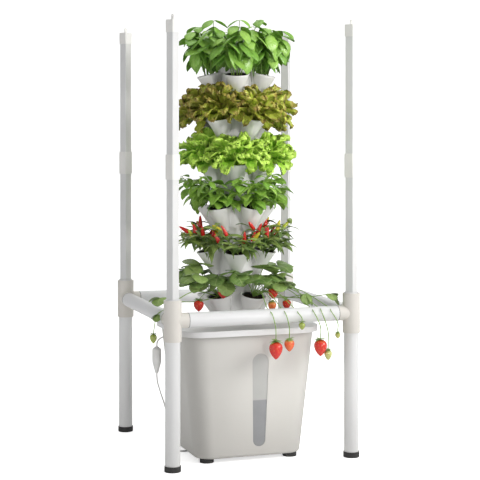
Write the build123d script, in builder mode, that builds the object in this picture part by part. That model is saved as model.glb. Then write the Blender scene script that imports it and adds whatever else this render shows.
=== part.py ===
from build123d import *
from math import cos, radians, sin, sqrt, tan
import os

# Hydroponic tower: a tube frame with four swivelling light bars stands round a water tank, and a stack of
# planter tiers with plants stands on the tank's lid. Millimetres, +X along the front rail, +Y to the back,
# +Z up, with the origin on the floor at the middle of the frame.

os.makedirs("parts", exist_ok=True)

# Room between pieces
fit_gap = 0.2
turn_gap = 0.3
butt_gap = 0.4

# Tube frame
post_spacing = 504.0
tube_d = 40.0
tube_wall = 2.5
leg_insert = 45.0
joint_web = 14.0
joint_wall = 3.3
stub_step = 18.0
spigot_length = 28.0
foot_height = 15.0
foot_floor = 4.0
foot_wall = 1.6

# Light bars
bar_w = 24.0
bar_wall = 2.0
bar_back = 2.5
bar_bevel = 1.2
lower_bar = 343.0
upper_bar = 380.0
turn_spigot_d = 30.0
turn_spigot_length = 46.0
turn_socket_room = 2.0
bar_flange_d = 38.0
bar_flange = 3.0
cover_thick = 2.5
board_w = 15.0
board_thick = 1.6
strip_w = 6.0
strip_thick = 1.2
sleeve_wall = 2.3
sleeve_height = 65.0
seam_w = 1.2
seam_depth = 0.8
cap_wall = 1.5
cap_height = 33.0
cap_top = 3.0
lug_w = 9.0
lug_height = 15.0
lug_thick = 3.0
lug_hole_d = 4.0
light_turn = {"front_left": -16.0, "front_right": -9.0, "back_left": -14.0, "back_right": 10.0}

# Tank and lid, which stand forward of the frame's middle
tower_x = -20.0
tower_y = -80.0
tank_foot_height = 11.0
tank_foot_d = 38.0
tank_foot_inset_x = 32.0
tank_foot_inset_y = 28.0
tank_height = 341.0
tank_top_w = 376.0
tank_top_d = 300.0
tank_top_corner = 58.0
tank_base_w = 300.0
tank_base_d = 264.0
tank_base_corner = 46.0
tank_base_round = 9.0
tank_wall = 3.0
rim_out = 7.0
rim_thick = 5.0
lid_overhang = 12.0
lid_thick = 4.0
lid_skirt = 16.0
lid_wall = 3.0
lid_edge_round = 2.5
rail_lid_gap = 15.0
window_offset = 20.0
window_low = 38.0
window_high = 289.0
window_top_r = 23.0
window_base_r = 17.5
window_inset = 1.0

# Planter tiers, numbered from the top
tier_count = 6
tier_pitch = 120.5
core_r = 50.0
core_wall = 2.5
tier_spigot = 8.0
drip_plate = 3.0
drip_slot_length = 14.0
drip_slot_w = 8.0
drip_circle_r = 30.0
riser_hole_d = 24.0
pockets = 5
pocket_sides = 12
mouth_r = 35.0
mouth_drop = 32.85
pocket_tilt = 12.5
pocket_foot_r = 11.0
pocket_drop = 72.0
pocket_tuck = 5.5
pocket_wall = 2.5
odd_turn = -108.0
crown_rise = 9.0
crown_plate = 3.0
boss_wall = 3.0
boss_depth = 14.0

# Net cups with their growing medium
cup_inset = 2.0
cup_gap = 0.3
cup_depth = 44.0

# Plants: height above the cup, half width and lean away from the core
stem_r = 8.0
plant_sides = 8
plants = [
    ("basil_plants", 148.0, 47.0, 26.0),
    ("red_lettuce_plants", 84.0, 47.0, 41.0),
    ("green_lettuce_plants", 80.0, 47.0, 41.0),
    ("mint_plants", 90.0, 45.0, 38.0),
    ("chilli_plants", 92.0, 47.0, 42.0),
    ("strawberry_plants", 76.0, 52.0, 52.0),
]
crown_shape = [(0.16, 0.55), (0.48, 1.0), (0.82, 0.82), (1.0, 0.4)]

# Pump and riser pipe
riser_d = 16.0
riser_wall = 1.5
pump_w = 56.0
pump_motor_length = 48.0
pump_h = 50.0
pump_bevel = 8.0
pump_axis_height = 25.0
chamber_r = 20.0
chamber_depth = 24.0
chamber_cover = 5.0
nipple_length = 18.0
nipple_bore_d = 8.0
axle_d = 4.0
axle_gap = 0.1
impeller_gap = 2.5
hub_r = 6.0
blade_count = 6
blade_thick = 2.0
end_play = 0.5
intake_slot_w = 3.0
intake_slot_h = 22.0
intake_slots = 5
intake_pitch = 6.0

# Lead from the pump: grommet in the tank's left wall, connector, adapter
lead_d = 4.5
lead_sides = 6
lead_arc_share = 0.45
lead_exit_run = 9.0
grommet_y = -60.0
grommet_drop = 30.0
grommet_hole_d = 14.0
grommet_flange_d = 19.0
grommet_flange = 2.0
boot_length = 14.0
boot_tip_d = 8.0
connector_out = 21.84
connector_drop = 25.23
connector_r = 12.5
connector_tip_r = 4.5
connector_shoulder = 7.0
connector_seam_drop = 20.0
connector_body = 34.0
connector_length = 72.0
adapter_w = 40.0
adapter_length = 48.0
adapter_h = 30.0
adapter_bevel = 4.0
adapter_boot_length = 14.0
pin_w = 6.0
pin_thick = 1.6
pin_length = 15.0
pin_spacing = 12.7

# Coil of the put-away lead: two layers of half turns, wound in below and out above
coil_x = 62.0
coil_y = 195.0
coil_outer_r = 30.0
coil_pitch = 5.0
coil_crossings = 5
coil_inner_step = 3.0
coil_climb_step = 4.0
coil_tail = 36.0
floor_room = 0.35

# Sizes that follow from the ones above
post = post_spacing / 2
tube_r = tube_d / 2
tank_top = tank_foot_height + tank_height
tank_floor = tank_foot_height + tank_wall
lid_top = tank_top + lid_thick
rail_height = lid_top + rail_lid_gap + tube_r
joint_r = tube_r + fit_gap + joint_wall
turn_socket = turn_spigot_length + turn_socket_room
joint_height = leg_insert + joint_web + turn_socket
joint_low = rail_height - joint_height / 2
joint_high = joint_low + joint_height
stub_reach = joint_r + stub_step
spigot_r = tube_r - tube_wall - fit_gap
bar_low = joint_high + bar_flange
bar_split = bar_low + lower_bar
bar_top = bar_split + upper_bar
cap_high = bar_top + cap_top
channel_w = bar_w - 2 * bar_wall
core_inner_r = core_r - core_wall
tilt = radians(pocket_tilt)
tower_top = lid_top + tier_count * tier_pitch
riser_r = riser_d / 2
riser_bore_r = riser_r - riser_wall
grommet_z = tank_top - grommet_drop
pump_top = tank_floor + pump_h
pump_axis_z = tank_floor + pump_axis_height
lead_r = lead_d / 2
floor_z = lead_r + floor_room

corners = {
    "front_left": (-1, -1),
    "front_right": (1, -1),
    "back_left": (-1, 1),
    "back_right": (1, 1),
}


def upright_plane(x, y, z):
    """Plane that faces the front, with its own x along +X and its own y along +Z."""
    return Plane(origin=(x, y, z), x_dir=(1, 0, 0), z_dir=(0, -1, 0))


def bevelled_square(width, bevel, mode=Mode.ADD):
    """Square with its corners cut off, for the sketch that is open."""
    half = width / 2
    corner = half - bevel
    points = [(half, -corner), (half, corner), (corner, half), (-corner, half)]
    Polygon(*points, *[(-x, -y) for x, y in points], align=None, mode=mode)


def save(builder, name):
    """Label a finished piece and write it to its own file."""
    builder.part.label = name
    export_step(builder.part, f"parts/{name}.step")


# Legs, each standing in a foot and pushed into a corner joint
for corner, (side_x, side_y) in corners.items():
    with BuildPart() as leg:
        with BuildSketch(Plane.XY.offset(foot_floor)):
            with Locations((side_x * post, side_y * post)):
                Circle(tube_r)
                Circle(tube_r - tube_wall, mode=Mode.SUBTRACT)
        extrude(amount=joint_low + leg_insert - foot_floor)
    save(leg, f"leg_{corner}")

# Feet, four cups that the legs stand in
with BuildPart() as leg_feet:
    with BuildSketch():
        with GridLocations(post_spacing, post_spacing, 2, 2):
            Circle(tube_r + fit_gap + foot_wall)
    extrude(amount=foot_height)
    with BuildSketch(Plane.XY.offset(foot_floor)):
        with GridLocations(post_spacing, post_spacing, 2, 2):
            Circle(tube_r + fit_gap)
    extrude(amount=foot_height - foot_floor, mode=Mode.SUBTRACT)
    chamfer(leg_feet.faces().group_by(Axis.Z)[0].edges(), foot_wall / 2)
save(leg_feet, "leg_feet")

# Corner joints: an upright sleeve with two stubs that the rails push on to
for corner, (side_x, side_y) in corners.items():
    axis_point = Vector(side_x * post, side_y * post, rail_height)
    stub_planes = [
        Plane(origin=axis_point, x_dir=(0, 1, 0), z_dir=(-side_x, 0, 0)),
        Plane(origin=axis_point, x_dir=(1, 0, 0), z_dir=(0, -side_y, 0)),
    ]
    low_plane = Plane(origin=(axis_point.X, axis_point.Y, joint_low))
    high_plane = Plane(origin=(axis_point.X, axis_point.Y, joint_high))
    with BuildPart() as joint:
        with BuildSketch(low_plane):
            Circle(joint_r)
        extrude(amount=joint_height)
        with BuildSketch(*stub_planes):
            Circle(tube_r)
        extrude(amount=stub_reach)
        with BuildSketch(*[plane.offset(stub_reach) for plane in stub_planes]):
            Circle(spigot_r)
        extrude(amount=spigot_length)
        with BuildSketch(low_plane):
            Circle(tube_r + fit_gap)
        extrude(amount=leg_insert, mode=Mode.SUBTRACT)
        with BuildSketch(high_plane):
            Circle(turn_spigot_d / 2 + turn_gap)
        extrude(amount=-turn_socket, mode=Mode.SUBTRACT)
    save(joint, f"corner_joint_{corner}")

# Rails, from shoulder to shoulder of the corner joints
rail_starts = {
    "rail_front": Plane(origin=(-post + stub_reach, -post, rail_height), x_dir=(0, 1, 0), z_dir=(1, 0, 0)),
    "rail_back": Plane(origin=(-post + stub_reach, post, rail_height), x_dir=(0, 1, 0), z_dir=(1, 0, 0)),
    "rail_left": Plane(origin=(-post, -post + stub_reach, rail_height), x_dir=(1, 0, 0), z_dir=(0, 1, 0)),
    "rail_right": Plane(origin=(post, -post + stub_reach, rail_height), x_dir=(1, 0, 0), z_dir=(0, 1, 0)),
}
for name, start in rail_starts.items():
    with BuildPart() as rail:
        with BuildSketch(start):
            Circle(tube_r)
            Circle(tube_r - tube_wall, mode=Mode.SUBTRACT)
        extrude(amount=post_spacing - 2 * stub_reach)
    save(rail, name)

# Light bars: two channel sections with covers and boards, a sleeve at the butt and a cap with a lug
bar_sections = [(bar_low, lower_bar), (bar_split + butt_gap, upper_bar - butt_gap)]
for corner, (side_x, side_y) in corners.items():
    inward = Vector(-side_x, -side_y, 0).normalized().rotate(Axis.Z, light_turn[corner])
    across = Vector(-inward.Y, inward.X, 0)
    foot_point = Vector(side_x * post, side_y * post, 0)
    bar_plane = Plane(origin=foot_point, x_dir=inward, z_dir=(0, 0, 1))

    with BuildPart() as housing:
        for start, length in bar_sections:
            with BuildSketch(bar_plane.offset(start)):
                bevelled_square(bar_w, bar_bevel)
                with Locations((bar_back / 2, 0)):
                    Rectangle(bar_w - bar_back, channel_w, mode=Mode.SUBTRACT)
            extrude(amount=length)
        with BuildSketch(bar_plane.offset(joint_high)):
            Circle(bar_flange_d / 2)
        extrude(amount=bar_flange)
        with BuildSketch(bar_plane.offset(joint_high)):
            Circle(turn_spigot_d / 2)
        extrude(amount=-turn_spigot_length)
    save(housing, f"light_{corner}_housing")

    with BuildPart() as cover:
        for start, length in bar_sections:
            with BuildSketch(bar_plane.offset(start)):
                with Locations((bar_w / 2 - cover_thick / 2, 0)):
                    Rectangle(cover_thick, channel_w - 2 * fit_gap)
            extrude(amount=length)
    save(cover, f"light_{corner}_cover")

    board_face = -bar_w / 2 + bar_back + board_thick
    with BuildPart() as board:
        for start, length in bar_sections:
            with BuildSketch(bar_plane.offset(start)):
                with Locations((board_face - board_thick / 2, 0)):
                    Rectangle(board_thick, board_w)
            extrude(amount=length)
            with BuildSketch(bar_plane.offset(start)):
                with Locations((board_face + strip_thick / 2, 0)):
                    Rectangle(strip_thick, strip_w)
            extrude(amount=length)
    save(board, f"light_{corner}_board")

    sleeve_w = bar_w + 2 * fit_gap + 2 * sleeve_wall
    with BuildPart() as sleeve:
        with BuildSketch(bar_plane.offset(bar_split - sleeve_height / 2)):
            bevelled_square(sleeve_w, sleeve_wall)
            Rectangle(bar_w + 2 * fit_gap, bar_w + 2 * fit_gap, mode=Mode.SUBTRACT)
        extrude(amount=sleeve_height)
        with BuildSketch(bar_plane.offset(bar_split - seam_w / 2)):
            Rectangle(2 * sleeve_w, 2 * sleeve_w)
            bevelled_square(sleeve_w - 2 * seam_depth, sleeve_wall - seam_depth, mode=Mode.SUBTRACT)
        extrude(amount=seam_w, mode=Mode.SUBTRACT)
    save(sleeve, f"light_{corner}_sleeve")

    cap_w = bar_w + 2 * fit_gap + 2 * cap_wall
    with BuildPart() as cap:
        with BuildSketch(bar_plane.offset(cap_high - cap_height)):
            bevelled_square(cap_w, cap_wall)
        extrude(amount=cap_height)
        with BuildSketch(bar_plane.offset(cap_high - cap_height)):
            Rectangle(bar_w + 2 * fit_gap, bar_w + 2 * fit_gap)
        extrude(amount=cap_height - cap_top, mode=Mode.SUBTRACT)
        lug_point = foot_point + Vector(0, 0, cap_high)
        with BuildSketch(Plane(origin=lug_point, x_dir=across, z_dir=inward)):
            lug_straight = lug_height - lug_w / 2
            with Locations((0, lug_straight / 2)):
                Rectangle(lug_w, lug_straight)
            with Locations((0, lug_straight)):
                Circle(lug_w / 2)
                Circle(lug_hole_d / 2, mode=Mode.SUBTRACT)
        extrude(amount=lug_thick / 2, both=True)
    save(cap, f"light_{corner}_cap")


def tank_section(z, inset):
    """Width, depth and corner radius of the tank's outside at a height, moved inwards by inset."""
    share = (z - tank_foot_height) / tank_height
    width = tank_base_w + (tank_top_w - tank_base_w) * share - 2 * inset
    depth = tank_base_d + (tank_top_d - tank_base_d) * share - 2 * inset
    corner = tank_base_corner + (tank_top_corner - tank_base_corner) * share - inset
    return width, depth, corner


def tank_block(low, high, inset, base_round):
    """Solid with the tank's tapered sides between two heights."""
    with BuildPart() as block:
        for z in (low, high):
            with BuildSketch(Plane.XY.offset(z)):
                with Locations((tower_x, tower_y)):
                    RectangleRounded(*tank_section(z, inset))
        loft(ruled=True)
        fillet(block.faces().sort_by(Axis.Z)[0].edges(), base_round)
    return block.part


def window_prism(inset):
    """Upright slot with round ends, wider at the top, through the tank's front wall."""
    with BuildPart() as prism:
        with BuildSketch(upright_plane(tower_x + window_offset, tower_y, 0)) as outline:
            with Locations((0, window_high - window_top_r)):
                Circle(window_top_r - inset)
            with Locations((0, window_low + window_base_r)):
                Circle(window_base_r - inset)
            make_hull(outline.edges())
        extrude(amount=tank_top_d)
    return prism.part


# Tank: tapered shell with a rim, a slot for the level window and a hole for the lead
tank_outside = tank_block(tank_foot_height, tank_top, 0, tank_base_round)
tank_inside = tank_block(tank_floor, tank_top, tank_wall, tank_base_round - tank_wall)
window_slot = window_prism(0)
wall_x = tower_x - tank_section(grommet_z, 0)[0] / 2
wall_slope = (tank_top_w - tank_base_w) / 2 / tank_height
grommet_plane = Plane(origin=(wall_x, grommet_y, grommet_z), x_dir=(0, 1, 0), z_dir=(-1, 0, -wall_slope))
with BuildPart() as tank_body:
    add(tank_outside)
    rim_w, rim_d, rim_corner = tank_section(tank_top, 0)
    with BuildSketch(Plane.XY.offset(tank_top)):
        with Locations((tower_x, tower_y)):
            RectangleRounded(rim_w + 2 * rim_out, rim_d + 2 * rim_out, rim_corner + rim_out)
    extrude(amount=-rim_thick)
    add(tank_inside, mode=Mode.SUBTRACT)
    add(window_slot, mode=Mode.SUBTRACT)
    with BuildSketch(grommet_plane):
        Circle(grommet_hole_d / 2)
    extrude(amount=2 * tank_wall, both=True, mode=Mode.SUBTRACT)
save(tank_body, "tank_body")

# Level window, set a little back from the tank's front
window_strip = window_prism(fit_gap)
window_front = tank_block(tank_foot_height, tank_top, window_inset, tank_base_round)
with BuildPart() as level_window:
    add(window_front)
    add(tank_inside, mode=Mode.SUBTRACT)
    add(window_strip, mode=Mode.INTERSECT)
save(level_window, "level_window")

# Tank feet, four round pads
with BuildPart() as tank_feet:
    with BuildSketch():
        with Locations((tower_x, tower_y)):
            foot_span_x = tank_base_w - 2 * tank_foot_inset_x
            foot_span_y = tank_base_d - 2 * tank_foot_inset_y
            with GridLocations(foot_span_x, foot_span_y, 2, 2):
                Circle(tank_foot_d / 2)
    extrude(amount=tank_foot_height)
save(tank_feet, "tank_feet")

# Lid: a plate with a skirt over the tank's rim and a round seat for the tower
lid_w = tank_top_w + 2 * lid_overhang
lid_d = tank_top_d + 2 * lid_overhang
lid_corner = tank_top_corner + lid_overhang
with BuildPart() as tank_lid:
    with BuildSketch(Plane.XY.offset(lid_top - lid_skirt)):
        with Locations((tower_x, tower_y)):
            RectangleRounded(lid_w, lid_d, lid_corner)
    extrude(amount=lid_skirt)
    fillet(tank_lid.faces().sort_by(Axis.Z)[-1].edges(), lid_edge_round)
    with BuildSketch(Plane.XY.offset(lid_top - lid_skirt)):
        with Locations((tower_x, tower_y)):
            RectangleRounded(lid_w - 2 * lid_wall, lid_d - 2 * lid_wall, lid_corner - lid_wall)
    extrude(amount=lid_skirt - lid_thick, mode=Mode.SUBTRACT)
    with BuildSketch(Plane.XY.offset(lid_top)):
        with Locations((tower_x, tower_y)):
            Circle(core_inner_r)
    extrude(amount=-lid_thick, mode=Mode.SUBTRACT)
save(tank_lid, "tank_lid")

# Grommet: a flanged plug in the tank wall with a tapered boot for the lead
with BuildPart() as lead_grommet:
    with BuildSketch(grommet_plane.offset(-tank_wall - grommet_flange)):
        Circle(grommet_flange_d / 2)
    extrude(amount=grommet_flange)
    with BuildSketch(grommet_plane.offset(-tank_wall)):
        Circle(grommet_hole_d / 2 - fit_gap)
    extrude(amount=tank_wall)
    with BuildSketch(grommet_plane):
        Circle(grommet_flange_d / 2)
    extrude(amount=grommet_flange)
    with BuildSketch(grommet_plane.offset(grommet_flange)):
        Circle(grommet_hole_d / 2)
    with BuildSketch(grommet_plane.offset(grommet_flange + boot_length)):
        Circle(boot_tip_d / 2)
    loft(ruled=True)
save(lead_grommet, "lead_grommet")


def pocket_angles(tier):
    """Directions of a tier's pockets: each tier is half a pocket round from the next."""
    turn = odd_turn + 180 / pockets * (tier % 2)
    return [radians(turn + 360 / pockets * pocket) for pocket in range(pockets)]


def tier_base(tier):
    """Height of a tier's foot, with the top tier as 0."""
    return lid_top + (tier_count - 1 - tier) * tier_pitch


def pocket_plane(tier, angle, drop):
    """Plane across a pocket at a drop below its rim, centred on it and facing out, and its radius there."""
    radius = mouth_r + (pocket_foot_r - mouth_r) * drop / pocket_drop
    outward = Vector(cos(angle), sin(angle), 0)
    core_edge = outward * (core_r - pocket_tuck) + Vector(tower_x, tower_y, tier_base(tier))
    rim_z = tier_pitch - mouth_drop - drop
    middle = core_edge + outward * (radius * cos(tilt)) + Vector(0, 0, rim_z - radius * sin(tilt))
    facing = outward * sin(tilt) + Vector(0, 0, cos(tilt))
    return Plane(origin=middle, x_dir=(-sin(angle), cos(angle), 0), z_dir=facing), radius


def pocket_loft(tier, angle, high, low, inset, mode=Mode.ADD):
    """Funnel between two drops below a pocket's rim, moved inwards by inset, for the part that is open."""
    sections = []
    for drop in (high, low):
        plane, radius = pocket_plane(tier, angle, drop)
        with BuildSketch(plane) as section:
            RegularPolygon(radius - inset, pocket_sides)
        sections.append(section.sketch)
    loft(sections, ruled=True, mode=mode)


# Planter tiers: a core tube with five funnel pockets that open into it, a drip plate and a spigot below
for tier in range(tier_count):
    base_plane = Plane(origin=(tower_x, tower_y, tier_base(tier)))
    with BuildPart() as planter:
        with BuildSketch(base_plane):
            Circle(core_r)
        extrude(amount=tier_pitch)
        for angle in pocket_angles(tier):
            pocket_loft(tier, angle, 0, pocket_drop, 0)
        with BuildSketch(base_plane.offset(drip_plate)):
            Circle(core_inner_r)
        extrude(amount=tier_pitch - drip_plate, mode=Mode.SUBTRACT)
        for angle in pocket_angles(tier):
            pocket_loft(tier, angle, 0, pocket_drop - pocket_wall, pocket_wall, mode=Mode.SUBTRACT)
        with BuildSketch(base_plane):
            Circle(core_inner_r - turn_gap)
            Circle(core_inner_r - turn_gap - core_wall, mode=Mode.SUBTRACT)
        extrude(amount=-tier_spigot)
        with BuildSketch(base_plane):
            Circle(riser_hole_d / 2)
            with PolarLocations(drip_circle_r, pockets, start_angle=odd_turn):
                Rectangle(drip_slot_length, drip_slot_w)
        extrude(amount=drip_plate, mode=Mode.SUBTRACT)
    save(planter, f"tower_tier_{tier + 1}")

# Tower cap: a low crown on the top tier, with a boss on the riser pipe
with BuildPart() as tower_cap:
    with BuildSketch(upright_plane(tower_x, tower_y, tower_top)):
        with BuildLine():
            Polyline((0, crown_rise), (0, 0), (core_r, 0), (core_r, crown_plate))
            TangentArc((0, crown_rise), (core_r, crown_plate), tangent=(1, 0))
        make_face()
    revolve(axis=Axis((tower_x, tower_y, 0), (0, 0, 1)))
    with BuildSketch(Plane(origin=(tower_x, tower_y, tower_top))):
        Circle(core_inner_r - turn_gap)
        Circle(core_inner_r - turn_gap - core_wall, mode=Mode.SUBTRACT)
    extrude(amount=-tier_spigot)
    with BuildSketch(Plane(origin=(tower_x, tower_y, tower_top))):
        Circle(riser_r + turn_gap + boss_wall)
        Circle(riser_r + turn_gap, mode=Mode.SUBTRACT)
    extrude(amount=-boss_depth)
save(tower_cap, "tower_cap")

# Net cups: one wedged in each pocket by its taper, a little below the rim
with BuildPart() as net_cups:
    for tier in range(tier_count):
        for angle in pocket_angles(tier):
            pocket_loft(tier, angle, cup_inset, cup_inset + cup_depth, pocket_wall + cup_gap)
save(net_cups, "net_cups")

# Plants: a stem on each cup that opens into a leaning crown
for tier, (name, height, half_width, lean) in enumerate(plants):
    with BuildPart() as plant_row:
        for angle in pocket_angles(tier):
            stem_plane = pocket_plane(tier, angle, cup_inset)[0]
            outward = Vector(cos(angle), sin(angle), 0)
            with BuildSketch(stem_plane) as stem:
                RegularPolygon(stem_r, plant_sides)
            sections = [stem.sketch]
            for rise, width in crown_shape:
                middle = stem_plane.origin + outward * (lean * rise) + Vector(0, 0, height * rise)
                with BuildSketch(Plane(origin=middle, x_dir=stem_plane.x_dir, z_dir=(0, 0, 1))) as crown:
                    RegularPolygon(half_width * width, plant_sides)
                sections.append(crown.sketch)
            loft(sections, ruled=True)
    save(plant_row, name)

# Pump: a case with an impeller chamber, an outlet nipple and an axle, and a slotted cover in front
chamber_plane = Plane(origin=(tower_x, tower_y, pump_axis_z), x_dir=(1, 0, 0), z_dir=(0, 1, 0))
pump_front = -chamber_depth / 2
with BuildPart() as pump_housing:
    with BuildSketch(Plane.XY.offset(tank_floor)):
        with Locations((tower_x, tower_y + pump_motor_length / 2)):
            Rectangle(pump_w, chamber_depth + pump_motor_length)
    extrude(amount=pump_h)
    chamfer(pump_housing.edges().filter_by(Axis.Z), pump_bevel)
    with BuildSketch(Plane(origin=(tower_x, tower_y, pump_top))):
        Circle(riser_bore_r - fit_gap)
    extrude(amount=nipple_length)
    with BuildSketch(chamber_plane.offset(pump_front)):
        Circle(chamber_r)
    extrude(amount=chamber_depth, mode=Mode.SUBTRACT)
    with BuildSketch(Plane(origin=(tower_x, tower_y, pump_axis_z))):
        Circle(nipple_bore_d / 2)
    extrude(amount=pump_top + nipple_length - pump_axis_z, mode=Mode.SUBTRACT)
    with BuildSketch(chamber_plane.offset(-pump_front)):
        Circle(axle_d / 2)
    extrude(amount=-(chamber_depth - end_play))
    with BuildSketch(chamber_plane.offset(pump_front - butt_gap)):
        Rectangle(pump_w - 2 * pump_bevel, pump_h - pump_bevel)
        with GridLocations(intake_pitch, intake_slot_h, intake_slots, 1):
            Rectangle(intake_slot_w, intake_slot_h, mode=Mode.SUBTRACT)
    extrude(amount=-chamber_cover)
save(pump_housing, "pump_housing")

# Impeller: a hub with straight blades, free on the axle
impeller_length = chamber_depth - 2 * end_play
with BuildPart() as pump_impeller:
    with BuildSketch(chamber_plane.offset(pump_front + end_play)):
        Circle(hub_r)
        with PolarLocations(0, blade_count):
            with Locations(((chamber_r - impeller_gap) / 2, 0)):
                Rectangle(chamber_r - impeller_gap, blade_thick)
        Circle(axle_d / 2 + axle_gap, mode=Mode.SUBTRACT)
    extrude(amount=impeller_length)
save(pump_impeller, "pump_impeller")

# Riser pipe from the pump's nipple to the tower cap
with BuildPart() as riser_pipe:
    with BuildSketch(Plane(origin=(tower_x, tower_y, pump_top))):
        Circle(riser_r)
        Circle(riser_bore_r, mode=Mode.SUBTRACT)
    extrude(amount=tower_top - pump_top - turn_gap)
save(riser_pipe, "riser_pipe")


def lead_tube(points, name):
    """Tube along straight runs with the largest arcs that the runs allow, and a print of its radii."""
    points = [Vector(*point) for point in points]
    runs = [b - a for a, b in zip(points, points[1:])]
    radii = []
    for before, after in zip(runs, runs[1:]):
        half_turn = radians(before.get_angle(after)) / 2
        radii.append(lead_arc_share * min(before.length, after.length) / tan(half_turn))
    with BuildPart() as tube:
        with BuildLine() as route:
            FilletPolyline(*points, radius=radii)
        with BuildSketch(Plane(origin=points[0], z_dir=runs[0])) as section:
            RegularPolygon(lead_r, lead_sides)
        sweep(path=route.wires()[0])
    length = route.wires()[0].length
    share = tube.part.volume / (section.sketch.area * length)
    print(f"{name}: {length:.1f} mm long, volume {share:.4f} of section times length")
    print("  radii", [round(radius, 1) for radius in radii])
    save(tube, name)
    return tube


# Pump lead, from the grommet's boot down to the connector
boot_tip = grommet_plane.offset(grommet_flange + boot_length).origin
connector_top = boot_tip - Vector(connector_out, 0, connector_drop)
pump_lead_route = [
    boot_tip,
    boot_tip + grommet_plane.z_dir * lead_exit_run,
    connector_top + Vector(4.7, 0, 18.6),
    connector_top + Vector(0, 0, 9.5),
    connector_top,
]
lead_tube(pump_lead_route, "pump_lead")

# Connector, two halves pushed together, hanging on the lead
with BuildPart() as lead_connector:
    with BuildSketch(upright_plane(*connector_top)):
        seam = -connector_seam_drop
        taper_start = -connector_shoulder - connector_body
        with BuildLine():
            Polyline(
                (0, 0),
                (connector_tip_r, 0),
                (connector_r, -connector_shoulder),
                (connector_r, seam + seam_w / 2),
                (connector_r - seam_depth, seam + seam_w / 2),
                (connector_r - seam_depth, seam - seam_w / 2),
                (connector_r, seam - seam_w / 2),
                (connector_r, taper_start),
                (connector_tip_r, -connector_length),
                (0, -connector_length),
                close=True,
            )
        make_face()
    revolve(axis=Axis(connector_top, (0, 0, 1)))
save(lead_connector, "lead_connector")

# Adapter lead, down past the tank's wall, under the tank and on to the coil behind it
connector_foot = connector_top - Vector(0, 0, connector_length)
coil_start = Vector(coil_x + coil_outer_r, coil_y - lead_d, floor_z)
adapter_lead_route = [
    connector_foot,
    connector_foot - Vector(0, 0, 2 * lead_exit_run),
    (-236, -68, 176),
    (-225.5, -76.5, 142),
    (-217.5, -81, 106),
    (-213, -80.5, 70),
    (-208.5, -77, 38),
    (-196, -71, 14),
    (-172, -62, floor_z),
    (-130, -49, floor_z),
    (-88, -29, floor_z),
    (-47, -6, floor_z),
    (-7, 21, floor_z),
    (31, 50, floor_z),
    (62, 84, floor_z),
    (83, 122, floor_z),
    coil_start - Vector(0, 3 * lead_exit_run, 0),
    coil_start,
]
lead_tube(adapter_lead_route, "adapter_lead")

# Coil: half turns between crossings of its own X axis, in on the floor, up a layer, and out again on top
lower = [(-1) ** k * (coil_outer_r - coil_pitch * (k // 2)) for k in range(coil_crossings)]
inner = coil_outer_r - coil_pitch * (coil_crossings // 2) - coil_inner_step
crossings = lower + [-inner, inner - coil_climb_step] + [-x for x in reversed(lower)]
climb = len(lower)
layer_z = [floor_z if k <= climb else floor_z + coil_pitch for k in range(len(crossings))]
crossing_points = [Vector(coil_x + x, coil_y, z) for x, z in zip(crossings, layer_z)]
with BuildPart() as adapter_lead_coil:
    with BuildLine() as turns:
        Line(coil_start, crossing_points[0])
        for k, (a, b) in enumerate(zip(crossing_points, crossing_points[1:])):
            way = Vector(0, (-1) ** k, 0)
            rise = (b.Z - a.Z) / 2
            middle = (a + b) * 0.5 + way * sqrt((a.X - b.X) ** 2 / 4 + rise**2)
            quarter = TangentArc(a, middle, tangent=way)
            TangentArc(middle, b, tangent=quarter % 1)
        coil_end = crossing_points[-1] - Vector(0, coil_tail, 0)
        Line(crossing_points[-1], coil_end)
    with BuildSketch(Plane(origin=coil_start, z_dir=(0, 1, 0))) as lead_section:
        RegularPolygon(lead_r, lead_sides)
    sweep(path=turns.wires()[0])
save(adapter_lead_coil, "adapter_lead_coil")

# Least gap between the coil's turns, measured on points along it
coil_length = turns.wires()[0].length
steps = int(coil_length / 2)
spots = [turns.wires()[0] @ (k / steps) for k in range(steps + 1)]
apart = int(6 * lead_d / 2)
least = min((p - q).length for k, p in enumerate(spots) for q in spots[k + apart:])
print(f"adapter_lead_coil: {coil_length:.1f} mm long, least gap {least - lead_d:.2f} mm")
share = adapter_lead_coil.part.volume / (lead_section.sketch.area * coil_length)
print(f"  volume {share:.4f} of section times length")

# Plug-in adapter, lying on the floor beside the coil
boot_plane = Plane(origin=coil_end, x_dir=(1, 0, 0), z_dir=(0, -1, 0))
case_y = coil_end.Y - adapter_boot_length - adapter_length / 2
with BuildPart() as mains_adapter:
    with BuildSketch():
        with Locations((coil_end.X, case_y)):
            Rectangle(adapter_w, adapter_length)
    extrude(amount=adapter_h)
    chamfer(mains_adapter.edges().filter_by(Axis.Z), adapter_bevel)
    chamfer(mains_adapter.faces().sort_by(Axis.Z)[-1].edges(), adapter_bevel / 2)
    with BuildSketch(boot_plane):
        Circle(boot_tip_d / 2)
    extrude(amount=adapter_boot_length)
    with BuildSketch(upright_plane(coil_end.X, case_y - adapter_length / 2, adapter_h / 2)):
        with GridLocations(pin_spacing, pin_w, 2, 1):
            Rectangle(pin_thick, pin_w)
    extrude(amount=pin_length)
save(mains_adapter, "mains_adapter")
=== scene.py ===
# %% [markdown]
# # A hydroponic tower
# A frame of white tubes carries four upright light bars and stands round a water tank. On the tank's lid
# stands a stack of six planter tiers, each with five funnel pockets, and every tier grows another crop.
# The hard pieces come from the construction model, at their real size. This lesson gives them their
# finishes, and models what is soft or grown: the lead, the moulded tiers, the growing medium and all the
# plants.

# %% Load the construction model
import math
import bmesh
import bpy
import numpy as np
from mathutils import Matrix, Vector


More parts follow.
